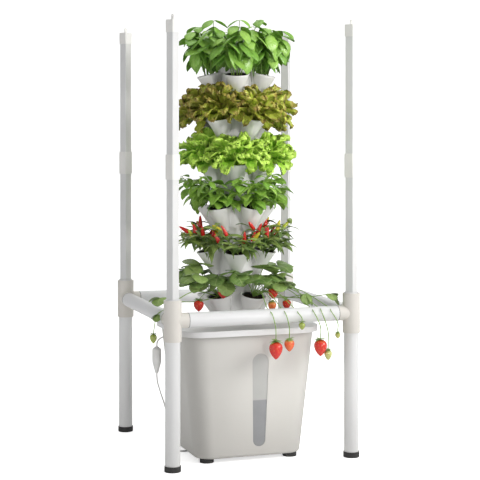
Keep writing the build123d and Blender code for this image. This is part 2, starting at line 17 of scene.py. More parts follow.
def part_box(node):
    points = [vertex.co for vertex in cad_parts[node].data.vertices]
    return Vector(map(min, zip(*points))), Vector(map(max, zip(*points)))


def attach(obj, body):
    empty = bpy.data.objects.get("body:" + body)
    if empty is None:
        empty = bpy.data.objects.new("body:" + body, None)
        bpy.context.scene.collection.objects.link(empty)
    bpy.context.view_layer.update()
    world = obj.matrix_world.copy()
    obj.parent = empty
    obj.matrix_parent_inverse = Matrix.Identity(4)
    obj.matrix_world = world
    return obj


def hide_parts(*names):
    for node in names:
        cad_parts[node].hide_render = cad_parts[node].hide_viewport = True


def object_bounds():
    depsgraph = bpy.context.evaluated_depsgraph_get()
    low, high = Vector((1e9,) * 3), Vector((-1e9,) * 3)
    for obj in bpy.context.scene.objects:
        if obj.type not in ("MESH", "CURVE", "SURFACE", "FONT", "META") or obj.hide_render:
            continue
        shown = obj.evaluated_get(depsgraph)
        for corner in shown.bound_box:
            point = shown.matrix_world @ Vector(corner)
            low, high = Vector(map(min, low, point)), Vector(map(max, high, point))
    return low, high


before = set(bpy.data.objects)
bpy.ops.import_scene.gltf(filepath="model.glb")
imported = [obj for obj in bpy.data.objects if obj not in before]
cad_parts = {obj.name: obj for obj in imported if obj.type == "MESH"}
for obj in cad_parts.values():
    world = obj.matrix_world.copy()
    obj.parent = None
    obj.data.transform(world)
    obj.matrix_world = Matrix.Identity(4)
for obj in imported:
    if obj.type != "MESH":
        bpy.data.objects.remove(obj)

cad_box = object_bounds()
cad_size = cad_box[1] - cad_box[0]
print("construction model:", len(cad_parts), "nodes, box", [round(x, 3) for x in cad_size])

# %% [markdown]
# ## Camera
# The photograph is taken with a long lens from the front left, level with the middle of the planting. A
# level camera keeps the posts upright in the picture, so the view is lowered with the lens shift and not
# by tilting.

# %% Camera
camera = bpy.data.objects.new("camera", bpy.data.cameras.new("camera"))
camera.location = (-1.219, -3.635, 0.884)
camera.rotation_euler = (math.radians(90), 0, math.radians(-18.8))
camera.data.sensor_width = 36
camera.data.lens = 101.5
camera.data.shift_y = -0.227
bpy.context.collection.objects.link(camera)
bpy.context.scene.camera = camera
print("camera", camera.data.lens, "mm lens at", tuple(round(x, 3) for x in camera.location))

# %% [markdown]
# ## Floor and light
# The object is white on white, so the shading carries all of its form. A large soft key light from the
# front right leaves the left sides grey, a weak fill from the left keeps them from going dark, and two
# narrow beams lift the planting and the tank's front. The sheet of floor rises behind the object in a
# wide curve, so there is no horizon. Its paper glows a little, but only as the camera sees it, which makes
# the ground white and adds no light to the object. The world looks white too, but the light that it gives
# falls off towards the left, as in a studio with an open side.

# %% Floor
def link_object(name, data):
    """New object in the scene with the given data."""
    made = bpy.data.objects.new(name, data)
    bpy.context.collection.objects.link(made)
    return made


def principled(name, **sockets):
    """New material and its shader node, with plain values set on the shader's own sockets."""
    material = bpy.data.materials.new(name)
    material.use_nodes = True
    shader = material.node_tree.nodes["Principled BSDF"]
    for key, value in sockets.items():
        shader.inputs[key.replace("_", " ")].default_value = value
    return material, shader


floor_mesh = bpy.data.meshes.new("studio_floor")
floor_half = 6.0
floor_back = 3.0
cove_radius = 2.5
cove_steps = 16
cove = [(-floor_half * 2, 0), (floor_back, 0)]
for step in range(1, cove_steps + 1):
    angle = math.pi / 2 * step / cove_steps
    cove.append((floor_back + cove_radius * math.sin(angle), cove_radius * (1 - math.cos(angle))))
cove.append((floor_back + cove_radius, floor_half))
cove_points = [(x, y, z) for y, z in cove for x in (-floor_half * 2, floor_half * 2)]
cove_faces = [(2 * k, 2 * k + 1, 2 * k + 3, 2 * k + 2) for k in range(len(cove) - 1)]
floor_mesh.from_pydata(cove_points, [], cove_faces)
floor_mesh.shade_smooth()
floor = link_object("studio_floor", floor_mesh)
floor.rotation_euler = (0, 0, camera.rotation_euler.z)
floor_paper, floor_shader = principled("floor_paper", Roughness=0.9, Specular_IOR_Level=0.1)
paper_tree = floor_paper.node_tree
paper_noise = paper_tree.nodes.new("ShaderNodeTexNoise")
paper_noise.inputs["Scale"].default_value = 3.0
paper_ramp = paper_tree.nodes.new("ShaderNodeValToRGB")
paper_ramp.color_ramp.elements[0].color = (0.90, 0.90, 0.90, 1)
paper_ramp.color_ramp.elements[1].color = (0.93, 0.93, 0.93, 1)
paper_tree.links.new(paper_noise.outputs["Fac"], paper_ramp.inputs["Fac"])
paper_tree.links.new(paper_ramp.outputs["Color"], floor_shader.inputs["Base Color"])
paper_glow = paper_tree.nodes.new("ShaderNodeMapRange")
paper_glow.inputs["To Max"].default_value = 0.62
paper_path = paper_tree.nodes.new("ShaderNodeLightPath")
paper_tree.links.new(paper_path.outputs["Is Camera Ray"], paper_glow.inputs["Value"])
paper_tree.links.new(paper_glow.outputs["Result"], floor_shader.inputs["Emission Strength"])
floor_mesh.materials.append(floor_paper)
print("floor sheet", len(cove_faces), "strips")

# %% Studio light
def area_light(name, place, target, size, watts, colour, spread=180):
    """Square soft light at a place, aimed at a target, with its spread in degrees."""
    lamp = bpy.data.lights.new(name, "AREA")
    lamp.size = size
    lamp.energy = watts
    lamp.color = colour
    lamp.spread = math.radians(spread)
    made = link_object(name, lamp)
    made.location = place
    made.rotation_euler = (Vector(target) - Vector(place)).to_track_quat("-Z", "Y").to_euler()


middle = (cad_box[0] + cad_box[1]) / 2
planting = Vector((middle.x, middle.y, 0.78))
tank_low, tank_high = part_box("tank_body")
tank_front = Vector((tank_high.x * 0.4, tank_low.y, (tank_low.z + tank_high.z) / 2))
warm_white = (1.0, 0.985, 0.96)
plain_white = (1.0, 1.0, 1.0)
area_light("key_light", (3.1, -2.4, 2.3), middle, 1.6, 110, warm_white)
area_light("fill_light", (-3.3, -2.0, 1.4), middle, 2.0, 30, (1.0, 0.99, 0.975))
area_light("planting_light", (1.1, -3.5, 1.6), planting, 0.5, 1.0, warm_white, 22)
area_light("tank_light", (0.1, -3.6, 0.6), tank_front, 0.2, 0.08, warm_white, 6.5)
area_light("back_light", (0.6, 3.0, 2.6), middle, 2.2, 26, plain_white)
area_light("top_light", (0.0, -0.2, 3.4), middle, 2.4, 30, plain_white)
world = bpy.data.worlds.new("white_studio")
bpy.context.scene.world = world
world.use_nodes = True
world_nodes = world.node_tree.nodes
world_links = world.node_tree.links
backdrop = world_nodes["Background"]
backdrop.inputs["Color"].default_value = (1, 1, 1, 1)
light_path = world_nodes.new("ShaderNodeLightPath")
sky_axes = world_nodes.new("ShaderNodeSeparateXYZ")
world_links.new(world_nodes.new("ShaderNodeTexCoord").outputs["Generated"], sky_axes.inputs[0])
room_strength = world_nodes.new("ShaderNodeMapRange")
room_strength.inputs["From Min"].default_value = -0.9
room_strength.inputs["From Max"].default_value = 0.7
room_strength.inputs["To Min"].default_value = 0.24
room_strength.inputs["To Max"].default_value = 0.40
world_links.new(sky_axes.outputs["X"], room_strength.inputs["Value"])
seen_strength = world_nodes.new("ShaderNodeMapRange")
seen_strength.inputs["To Max"].default_value = 1.0
world_links.new(room_strength.outputs["Result"], seen_strength.inputs["To Min"])
world_links.new(light_path.outputs["Is Camera Ray"], seen_strength.inputs["Value"])
world_links.new(seen_strength.outputs["Result"], backdrop.inputs["Strength"])
bpy.context.scene.view_settings.view_transform = "Standard"
print("lights", [lamp.name for lamp in bpy.data.lights])

# %% [markdown]
# ## Lead
# A thin white lead leaves the tank through a boot, drops to a two-part connector that hangs beside the
# tank, and goes on down, under the tank and into a tied coil behind it, with its plug-in adapter. A lead
# is one smooth line, so each stretch is a NURBS curve with the route's own points as its control points.
# The coil is more points of the same curve, set round each half turn just outside the line that the curve
# then follows.

# %% Lead routes
lead_diameter = 0.0045
pump_lead_route = [
    (-0.22056, -0.060, 0.32023),
    (-0.22951, -0.060, 0.31923),
    (-0.2377, -0.060, 0.3136),
    (-0.2424, -0.060, 0.3045),
    (-0.2424, -0.060, 0.295),
]
floor_z = 0.0026
adapter_lead_route = [
    (-0.2424, -0.060, 0.223),
    (-0.2424, -0.060, 0.205),
    (-0.236, -0.068, 0.176),
    (-0.2255, -0.0765, 0.142),
    (-0.2175, -0.081, 0.106),
    (-0.213, -0.0805, 0.070),
    (-0.2085, -0.077, 0.038),
    (-0.196, -0.071, 0.014),
    (-0.172, -0.062, floor_z),
    (-0.130, -0.049, floor_z),
    (-0.088, -0.029, floor_z),
    (-0.047, -0.006, floor_z),
    (-0.007, 0.021, floor_z),
    (0.031, 0.050, floor_z),
    (0.062, 0.084, floor_z),
    (0.083, 0.122, floor_z),
    (0.092, 0.1635, floor_z),
]
coil_middle = Vector((0.062, 0.195, floor_z))
coil_crossings = [0.030, -0.030, 0.025, -0.025, 0.020, -0.017, 0.013, -0.020, 0.025, -0.025, 0.030, -0.030]
coil_layer = 0.005
climb_crossing = 5
points_per_half_turn = 6
coil_route = []
for k, (start, end) in enumerate(zip(coil_crossings, coil_crossings[1:])):
    side = 1 if k % 2 == 0 else -1
    half_step = math.pi / points_per_half_turn / 2
    turn_radius = abs(start - end) / 2
    for j in range(points_per_half_turn):
        angle = half_step * (2 * j + 1)
        along = math.copysign(1, start) * math.cos(angle) * turn_radius / math.cos(half_step)
        out = side * math.sin(angle) * turn_radius / math.cos(half_step)
        climbed = (angle / math.pi if k == climb_crossing else float(k > climb_crossing)) * coil_layer
        coil_route.append(coil_middle + Vector(((start + end) / 2 + along, out, climbed)))
coil_end = coil_middle + Vector((coil_crossings[-1], -0.036, coil_layer))
adapter_lead_route += [tuple(point) for point in coil_route] + [tuple(coil_end)]
print("lead routes with", len(pump_lead_route), "and", len(adapter_lead_route), "points")

# %% Lead curves
def lead_curve(name, route):
    """Round lead along one smooth open spline."""
    line = bpy.data.curves.new(name, "CURVE")
    line.dimensions = "3D"
    line.bevel_depth = 1.0
    line.bevel_resolution = 4
    line.use_fill_caps = True
    spline = line.splines.new("NURBS")
    spline.points.add(len(route) - 1)
    for point, place in zip(spline.points, route):
        point.co = (*place, 1)
        point.radius = lead_diameter / 2
    spline.order_u = 3
    spline.use_endpoint_u = True
    spline.resolution_u = 6
    lead = link_object(name, line)
    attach(lead, "frame")
    return lead


pump_lead = lead_curve("pump_lead_line", pump_lead_route)
adapter_lead = lead_curve("adapter_lead_line", adapter_lead_route)
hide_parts("pump_lead")
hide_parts("adapter_lead", "adapter_lead_coil")
print("lead curves", pump_lead.name, "and", adapter_lead.name)

# %% [markdown]
# A small hook-and-loop strap ties the coil. It is a flat band that goes once round the bundle of turns,
# so it is swept here as a flat rectangle round a path with rounded corners.

# %% Coil strap
def grid_faces(rows, columns, first=0, wrap=False):
    """Quads of a grid of points that are numbered row by row, with the columns closed into a ring or not."""
    across = columns if wrap else columns - 1
    return [
        (
            first + r * columns + c,
            first + r * columns + (c + 1) % columns,
            first + (r + 1) * columns + (c + 1) % columns,
            first + (r + 1) * columns + c,
        )
        for r in range(rows - 1)
        for c in range(across)
    ]


strap_width = 0.009
strap_thick = 0.0009
bundle_half_width = 0.0085
bundle_half_height = 0.0052
strap_steps = 40
bundle_out = 0.0245
strap_lift = 0.0012
strap_middle = coil_middle + Vector((0, bundle_out, bundle_half_height - floor_z + strap_lift))
strap_profile = []
for step in range(strap_steps):
    angle = 2 * math.pi * step / strap_steps
    swell = (abs(math.cos(angle)) ** 4 + abs(math.sin(angle)) ** 4) ** -0.25
    strap_profile.append((math.cos(angle) * swell, math.sin(angle) * swell))
strap_points = []
for x, inner in ((-1, 1), (-1, 0), (1, 0), (1, 1), (-1, 1)):
    for y, z in strap_profile:
        room = 0 if inner else strap_thick
        place = Vector((x * strap_width / 2, y * (bundle_half_width + room), z * (bundle_half_height + room)))
        strap_points.append(strap_middle + place)
strap_mesh = bpy.data.meshes.new("coil_strap")
strap_mesh.from_pydata(strap_points, [], grid_faces(5, strap_steps, wrap=True))
strap_clean = bmesh.new()
strap_clean.from_mesh(strap_mesh)
bmesh.ops.remove_doubles(strap_clean, verts=strap_clean.verts, dist=1e-6)
bmesh.ops.recalc_face_normals(strap_clean, faces=strap_clean.faces)
strap_clean.to_mesh(strap_mesh)
strap_clean.free()
coil_strap = link_object("coil_strap", strap_mesh)
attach(coil_strap, "frame")
print("coil strap", len(strap_mesh.polygons), "faces")

# %% [markdown]
# ## Moulded plastic
# Nearly every hard surface here is white plastic. What tells the pieces apart is small: the tone of the
# white, the grain of the mould or the draw marks of an extruded tube, and faint scuffs and dust low down.
# These effects are shared, so they are one node group that puts out masks and a height, and each plastic
# uses it its own way.

# %% Node helpers
def socket(group, name, way, kind="NodeSocketFloat", value=None):
    """New socket of a node group."""
    made = group.interface.new_socket(name=name, in_out=way, socket_type=kind)
    if value is not None:
        made.default_value = value


def add_node(tree, kind, **settings):
    """New node with its settings, and plain input values given as in_0, in_1 and so on."""
    made = tree.nodes.new(kind)
    for key, value in settings.items():
        if key.startswith("in_"):
            made.inputs[int(key[3:])].default_value = value
        else:
            setattr(made, key, value)
    return made


def math_node(tree, operation, a, b=None, clamp=False):
    """Math node on outputs or plain numbers, giving its output."""
    made = add_node(tree, "ShaderNodeMath", operation=operation, use_clamp=clamp)
    for place, value in enumerate((a, b)):
        if isinstance(value, bpy.types.NodeSocket):
            tree.links.new(value, made.inputs[place])
        elif value is not None:
            made.inputs[place].default_value = value
    return made.outputs[0]


def smooth_mask(tree, value, low, high):
    """0 below low, 1 above high, with a smooth step between."""
    made = add_node(tree, "ShaderNodeMapRange", interpolation_type="SMOOTHSTEP", in_1=low, in_2=high)
    tree.links.new(value, made.inputs[0])
    return made.outputs[0]


def blend_colour(tree, factor, a, b):
    """Mix of two colours, each an output or a plain colour."""
    made = add_node(tree, "ShaderNodeMix", data_type="RGBA")
    for place, value in ((0, factor), (6, a), (7, b)):
        if isinstance(value, bpy.types.NodeSocket):
            tree.links.new(value, made.inputs[place])
        else:
            made.inputs[place].default_value = value if place == 0 else (*value, 1)
    return made.outputs[2]


def object_place(tree):
    """Place on the piece, whole and by its axes."""
    place = add_node(tree, "ShaderNodeTexCoord").outputs["Object"]
    axes = add_node(tree, "ShaderNodeSeparateXYZ")
    tree.links.new(place, axes.inputs[0])
    return place, axes.outputs


def noise_over(tree, place, scale, detail=2.0):
    """Noise that changes over a place."""
    noise = add_node(tree, "ShaderNodeTexNoise", in_2=scale, in_3=detail)
    tree.links.new(place, noise.inputs["Vector"])
    return noise


def raise_surface(tree, shader, height, strength, distance):
    """Bump on a shader from a height."""
    relief = add_node(tree, "ShaderNodeBump", in_0=strength, in_1=distance)
    tree.links.new(height, relief.inputs["Height"])
    tree.links.new(relief.outputs["Normal"], shader.inputs["Normal"])


print("node helpers are ready")

# %% Plastic surface group
def plastic_surface_group():
    """Tone, scuffs, low dust and a fine height over a plastic piece."""
    group = bpy.data.node_groups.new("plastic_surface", "ShaderNodeTree")
    socket(group, "Stretch", "INPUT", "NodeSocketVector", (1, 1, 1))
    socket(group, "Grain Scale", "INPUT", value=900.0)
    socket(group, "Tone Scale", "INPUT", value=6.0)
    for name in ("Tone", "Scuff", "Dust", "Height"):
        socket(group, name, "OUTPUT")
    start = add_node(group, "NodeGroupInput")
    end = add_node(group, "NodeGroupOutput")
    place, axes = object_place(group)
    stretched = add_node(group, "ShaderNodeVectorMath", operation="MULTIPLY")
    group.links.new(place, stretched.inputs[0])
    group.links.new(start.outputs["Stretch"], stretched.inputs[1])
    grain = noise_over(group, stretched.outputs[0], 900.0, 3.0)
    group.links.new(start.outputs["Grain Scale"], grain.inputs["Scale"])
    tone = noise_over(group, stretched.outputs[0], 6.0, 4.0)
    group.links.new(start.outputs["Tone Scale"], tone.inputs["Scale"])
    scratch = add_node(group, "ShaderNodeTexVoronoi", feature="DISTANCE_TO_EDGE", in_2=24.0)
    warp = noise_over(group, place, 9.0)
    bent = add_node(group, "ShaderNodeVectorMath", operation="MULTIPLY_ADD", in_1=(0.3, 0.3, 0.3))
    group.links.new(warp.outputs["Color"], bent.inputs[0])
    group.links.new(place, bent.inputs[2])
    group.links.new(bent.outputs[0], scratch.inputs["Vector"])
    thin = math_node(group, "SUBTRACT", 1.0, smooth_mask(group, scratch.outputs["Distance"], 0.004, 0.02))
    patchy = smooth_mask(group, tone.outputs["Fac"], 0.52, 0.72)
    low = math_node(group, "SUBTRACT", 1.0, smooth_mask(group, axes["Z"], 0.0, 0.22))
    group.links.new(tone.outputs["Fac"], end.inputs["Tone"])
    group.links.new(math_node(group, "MULTIPLY", thin, patchy), end.inputs["Scuff"])
    group.links.new(math_node(group, "MULTIPLY", low, grain.outputs["Fac"]), end.inputs["Dust"])
    group.links.new(grain.outputs["Fac"], end.inputs["Height"])
    return group


plastic_surface = plastic_surface_group()
print("group", plastic_surface.name, [item.name for item in plastic_surface.interface.items_tree])

# %% Plastic materials
dust_colour = (0.36, 0.34, 0.31)


def plastic(name, light, dark, rough, grain, tone, stretch=(1, 1, 1), bump=0.05, dust=0.25):
    """Plastic that varies between two colours, with grain, scuffs and a little dust low down."""
    material, shader = principled(name)
    tree = material.node_tree
    surface = add_node(tree, "ShaderNodeGroup", node_tree=plastic_surface)
    surface.inputs["Stretch"].default_value = stretch
    surface.inputs["Grain Scale"].default_value = grain
    surface.inputs["Tone Scale"].default_value = tone
    shade = smooth_mask(tree, surface.outputs["Tone"], 0.32, 0.68)
    colour = blend_colour(tree, shade, light, dark)
    dusty = math_node(tree, "MULTIPLY", surface.outputs["Dust"], dust)
    colour = blend_colour(tree, dusty, colour, dust_colour)
    scuffed = math_node(tree, "MULTIPLY", surface.outputs["Scuff"], 0.10)
    colour = blend_colour(tree, scuffed, colour, dark)
    tree.links.new(colour, shader.inputs["Base Color"])
    worn = math_node(tree, "MULTIPLY_ADD", surface.outputs["Tone"], 0.14)
    worn.node.inputs[2].default_value = rough - 0.07
    rougher = math_node(tree, "MULTIPLY", surface.outputs["Scuff"], 0.18)
    tree.links.new(math_node(tree, "ADD", worn, rougher), shader.inputs["Roughness"])
    raise_surface(tree, shader, surface.outputs["Height"], bump, 0.0006)
    return material


white_tube = plastic("tube_white", (0.76, 0.765, 0.77), (0.72, 0.725, 0.73), 0.34, 700, 5, (1, 1, 0.12))
rail_white = plastic("rail_white", (0.75, 0.755, 0.765), (0.71, 0.715, 0.725), 0.34, 700, 5, (0.25, 0.25, 1))
joint_ivory = plastic("joint_ivory", (0.69, 0.665, 0.625), (0.655, 0.63, 0.59), 0.42, 1200, 9, bump=0.08)
bar_coat = plastic("bar_coat", (0.70, 0.705, 0.71), (0.665, 0.67, 0.675), 0.38, 1700, 7, bump=0.14)
opal_cover = plastic("opal_cover", (0.70, 0.70, 0.685), (0.665, 0.67, 0.655), 0.30, 260, 4, (1, 1, 0.02),
                     bump=0.10)
board_white = plastic("board_white", (0.70, 0.72, 0.66), (0.62, 0.64, 0.55), 0.45, 1500, 40)
fitting_white = plastic("fitting_white", (0.80, 0.795, 0.78), (0.76, 0.755, 0.735), 0.40, 1300, 9, bump=0.08)
tank_shell = plastic("tank_shell", (0.575, 0.565, 0.54), (0.545, 0.535, 0.51), 0.36, 1500, 3.5, bump=0.10)
lid_shell = plastic("lid_shell", (0.76, 0.76, 0.765), (0.72, 0.72, 0.725), 0.33, 1500, 4, bump=0.08)
tier_shell = plastic("tier_shell", (0.84, 0.84, 0.835), (0.80, 0.80, 0.79), 0.34, 1300, 6, bump=0.07)
lead_jacket = plastic("lead_jacket", (0.78, 0.78, 0.77), (0.72, 0.72, 0.71), 0.45, 1800, 30, bump=0.12)
connector_white = plastic("connector_white", (0.80, 0.80, 0.79), (0.75, 0.75, 0.74), 0.38, 1600, 22,
                          bump=0.08)
pump_black = plastic("pump_black", (0.020, 0.021, 0.023), (0.030, 0.031, 0.033), 0.42, 1500, 14, bump=0.10)
# Black rubber of the feet and the strap; the same black is also the painted shade of the rail seams.
black_rubber_and_gap_shade = plastic("black_rubber_and_gap_shade", (0.015, 0.015, 0.016), (0.024, 0.024, 0.024), 0.62, 1400, 25,
                       bump=0.25, dust=0.06)
riser_grey = plastic("riser_grey", (0.42, 0.43, 0.44), (0.36, 0.37, 0.38), 0.38, 900, 8, (1, 1, 0.1))
cup_black = plastic("cup_black", (0.022, 0.022, 0.024), (0.034, 0.034, 0.036), 0.40, 1500, 20, bump=0.10)
print(len(bpy.data.materials), "materials so far")

# %% [markdown]
# The level window is smoky clear plastic. Water stands behind its lower half, which shows as a darker
# band, so the colour changes with height and not by a second piece.

# %% Level window material
window_low, window_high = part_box("level_window")
water_level = (window_low.z + window_high.z) / 2
window_smoke, window_shader = principled("window_smoke", Roughness=0.12, Specular_IOR_Level=0.6)
window_tree = window_smoke.node_tree
window_place, window_axes = object_place(window_tree)
haze = noise_over(window_tree, window_place, 22.0, 3.0).outputs["Fac"]
water_edge = 0.002
above_water = smooth_mask(window_tree, window_axes["Z"], water_level - water_edge, water_level + water_edge)
dry_colour = blend_colour(window_tree, haze, (0.36, 0.365, 0.355), (0.44, 0.44, 0.43))
wet_colour = blend_colour(window_tree, haze, (0.22, 0.225, 0.235), (0.28, 0.285, 0.295))
window_colour = blend_colour(window_tree, above_water, wet_colour, dry_colour)
window_tree.links.new(window_colour, window_shader.inputs["Base Color"])
print("water stands at", round(water_level, 4))

# %% [markdown]
# The adapter is one moulded case with two metal pins. The pins stick out past the front of the case, so
# one mask by place turns the same surface from plastic into metal.

# %% Adapter material
pin_length = 0.015
adapter_case, adapter_shader = principled("adapter_case", Roughness=0.4)
adapter_tree = adapter_case.node_tree
adapter_surface = add_node(adapter_tree, "ShaderNodeGroup", node_tree=plastic_surface)
adapter_axes = object_place(adapter_tree)[1]
case_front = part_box("mains_adapter")[0].y + pin_length
pin_edge = 0.0002
behind_pins = smooth_mask(adapter_tree, adapter_axes["Y"], case_front - pin_edge, case_front)
case_tone = adapter_surface.outputs["Tone"]
case_colour = blend_colour(adapter_tree, case_tone, (0.80, 0.80, 0.79), (0.74, 0.74, 0.73))
adapter_colour = blend_colour(adapter_tree, behind_pins, (0.62, 0.60, 0.55), case_colour)
adapter_tree.links.new(adapter_colour, adapter_shader.inputs["Base Color"])
pin_metal = math_node(adapter_tree, "SUBTRACT", 1.0, behind_pins)
adapter_tree.links.new(pin_metal, adapter_shader.inputs["Metallic"])
print("adapter case from y", round(case_front, 4))

# %% [markdown]
# The pieces of the construction model keep their shape and only get a finish. Their names say what they
# are, so two short tables go from the start of a name, or its end on a light bar, to the material.

# %% Finishes on the construction pieces
finishes = {
    "leg_feet": black_rubber_and_gap_shade,
    "leg_": white_tube,
    "rail_": rail_white,
    "corner_joint_": joint_ivory,
    "tank_body": tank_shell,
    "tank_lid": lid_shell,
    "tank_feet": black_rubber_and_gap_shade,
    "level_window": window_smoke,
    "lead_grommet": connector_white,
    "lead_connector": connector_white,
    "mains_adapter": adapter_case,
    "pump_housing": pump_black,
    "pump_impeller": fitting_white,
    "riser_pipe": riser_grey,
    "tower_cap": tier_shell,
}
bar_finishes = {
    "_housing": bar_coat,
    "_cover": opal_cover,
    "_board": board_white,
    "_sleeve": fitting_white,
    "_cap": fitting_white,
}


def finish_for(name):
    """Material of a construction node, by the start of its name or, on a light bar, by its end."""
    for ending, material in bar_finishes.items():
        if name.startswith("light_") and name.endswith(ending):
            return material
    for start, material in finishes.items():
        if name.startswith(start):
            return material
    return None


for name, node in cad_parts.items():
    if finish_for(name):
        for material_slot in node.material_slots:
            material_slot.material = finish_for(name)
for lead in (pump_lead, adapter_lead):
    lead.data.materials.append(lead_jacket)
strap_mesh.materials.append(black_rubber_and_gap_shade)
print("finished nodes", sum(1 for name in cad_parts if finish_for(name)))

# %% [markdown]
# ## Seams of the frame
# Where a rail slides into a corner joint the two are nearly flush, and only a thin dark gap shows. No gap
# is cut: the shade in it is painted on a narrow black ring that stands just proud of the rail's end.

# %% Rail seams
def turned(profile, steps, place):
    """Points and faces of rings about local Z. Each entry of the profile is a height and a radius."""
    points = []
    for height, radius in profile:
        for step in range(steps):
            angle = 2 * math.pi * step / steps
            points.append(place(height) @ Vector((radius * math.cos(angle), radius * math.sin(angle), 0)))
    return points, grid_faces(len(profile), steps, wrap=True)


def welded_mesh(name, parts):
    """Mesh of several point and face lists, with points that coincide joined and faces turned outwards."""
    mesh = bmesh.new()
    for points, faces in parts:
        corners = [mesh.verts.new(point) for point in points]
        for face in faces:
            mesh.faces.new([corners[k] for k in face])
    bmesh.ops.remove_doubles(mesh, verts=mesh.verts, dist=1e-6)
    bmesh.ops.dissolve_degenerate(mesh, edges=mesh.edges, dist=1e-7)
    bmesh.ops.recalc_face_normals(mesh, faces=mesh.faces)
    made = bpy.data.meshes.new(name)
    mesh.to_mesh(made)
    mesh.free()
    made.shade_smooth()
    return made


def along_axis(start, turn):
    """Place of a ring at a height along an axis that starts at a point and is turned from Z."""
    return lambda height: Matrix.Translation(start) @ turn @ Matrix.Translation((0, 0, height))


seam_steps = 48
seam_half = 0.0005
seam_inner = 0.0196
seam_outer = 0.0203
seam_profile = [(-seam_half, seam_inner), (-seam_half, seam_outer)]
seam_profile += [(seam_half, seam_outer), (seam_half, seam_inner), seam_profile[0]]
seam_parts = []
for rail in ("rail_front", "rail_back", "rail_left", "rail_right"):
    low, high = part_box(rail)
    long_x = high.x - low.x > high.y - low.y
    turn = Matrix.Rotation(math.pi / 2, 4, "Y" if long_x else "X")
    for end in (low, high):
        start = (low + high) / 2
        start[0 if long_x else 1] = end[0 if long_x else 1]
        seam_parts.append(turned(seam_profile, seam_steps, along_axis(start, turn)))
# Painted shade: the ring is black where the gap between rail and joint would only be in shade.
rail_seam_shade = link_object("rail_seam_shade", welded_mesh("rail_seam_shade", seam_parts))
rail_seam_shade.data.materials.append(black_rubber_and_gap_shade)
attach(rail_seam_shade, "frame")
print(len(seam_parts), "rail seams")

# %% [markdown]
# ## Planter tiers
# A tier is one moulded shell: a round core with five funnels that lean out of it and flow into it without
# an edge. Separate cones would meet the core in hard lines, so the solid forms are merged by a voxel
# remesh and smoothed, which rounds every inside corner, and only then are the pockets cut out. A thin lip
# closes each mouth.

# %% Tier measures
tower_low, tower_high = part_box("tower_cap")
tower_x = (tower_low.x + tower_high.x) / 2
tower_y = (tower_low.y + tower_high.y) / 2
core_radius = (tower_high.x - tower_low.x) / 2
lid_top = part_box("tank_lid")[1].z
tier_count = 6
tier_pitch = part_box("tower_tier_5")[0].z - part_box("tower_tier_6")[0].z
pocket_count = 5
mouth_radius = 0.035
foot_radius = 0.011
pocket_drop = 0.072
pocket_tilt = math.radians(12.5)
pocket_wall = 0.0025
rim_drop = 0.03285
pocket_sink = 0.0055
rim_height = tier_pitch - rim_drop
pocket_back = core_radius - pocket_sink
first_turn = math.radians(-108)


def tier_base(tier):
    """Height of a tier's foot, with the tiers numbered from the top."""
    return lid_top + (tier_count - tier) * tier_pitch


def tier_turn(tier):
    """Turn of a tier's first pocket: each tier is half a pocket round from the next."""
    return first_turn + (math.pi / pocket_count if tier % 2 == 0 else 0)


def funnel_radius(drop):
    """Outer radius of a pocket at a drop below its rim."""
    return mouth_radius + (foot_radius - mouth_radius) * drop / pocket_drop


def in_pocket(turn, base, pocket):
    """Places across a pocket by height over its rim: local Z out of it, local X away from the core."""
    angle = turn + 2 * math.pi * pocket / pocket_count
    axis = Matrix.Translation((tower_x, tower_y, base)) @ Matrix.Rotation(angle, 4, "Z")

    def place(height):
        radius = funnel_radius(-height)
        reach = pocket_back + radius * math.cos(pocket_tilt)
        rise = rim_height + height - radius * math.sin(pocket_tilt)
        return axis @ Matrix.Translation((reach, 0, rise)) @ Matrix.Rotation(pocket_tilt, 4, "Y")

    return place


print("tier pitch", tier_pitch, "core radius", round(core_radius, 4))

# %% Tier shell
def settled_mesh(piece):
    """Mesh of an object with all its modifiers worked out."""
    graph = bpy.context.evaluated_depsgraph_get()
    return bpy.data.meshes.new_from_object(piece.evaluated_get(graph))


def discard(piece):
    """Remove a helper object and its mesh."""
    mesh = piece.data
    bpy.data.objects.remove(piece)
    bpy.data.meshes.remove(mesh)


tier_gap = 0.0004
tier_end = tier_pitch - tier_gap
core_profile = [(tier_gap, 0), (tier_gap, core_radius), (tier_end, core_radius), (tier_end, 0)]
funnel_profile = [(-pocket_drop, 0), (-pocket_drop, foot_radius), (0, mouth_radius), (0, 0)]
hollow_foot = pocket_drop - pocket_wall
hollow_profile = [(-hollow_foot, 0), (-hollow_foot, funnel_radius(hollow_foot) - pocket_wall)]
cut_past = 0.001
hollow_profile += [(cut_past, mouth_radius - pocket_wall), (cut_past, 0)]
round_steps = 64
at_axis = Matrix.Translation((tower_x, tower_y, 0))
solid_parts = [turned(core_profile, round_steps, along_axis((tower_x, tower_y, 0), Matrix.Identity(4)))]
hollow_parts = []
for pocket in range(pocket_count):
    place = in_pocket(0, 0, pocket)
    solid_parts.append(turned(funnel_profile, round_steps, place))
    hollow_parts.append(turned(hollow_profile, round_steps, place))
tier_solid = link_object("tier_solid", welded_mesh("tier_solid", solid_parts))
merge = tier_solid.modifiers.new("merge", "REMESH")
merge.mode = "VOXEL"
merge.voxel_size = 0.0018
merge.use_smooth_shade = True
flow = tier_solid.modifiers.new("flow", "SMOOTH")
flow.factor = 0.5
flow.iterations = 4
tier_hollow = link_object("tier_hollow", welded_mesh("tier_hollow", hollow_parts))
cut = tier_solid.modifiers.new("cut", "BOOLEAN")
cut.object = tier_hollow
cut.operation = "DIFFERENCE"
cut.solver = "EXACT"
tier_cast = settled_mesh(tier_solid)
discard(tier_solid)
discard(tier_hollow)
print("one tier", len(tier_cast.polygons), "faces")

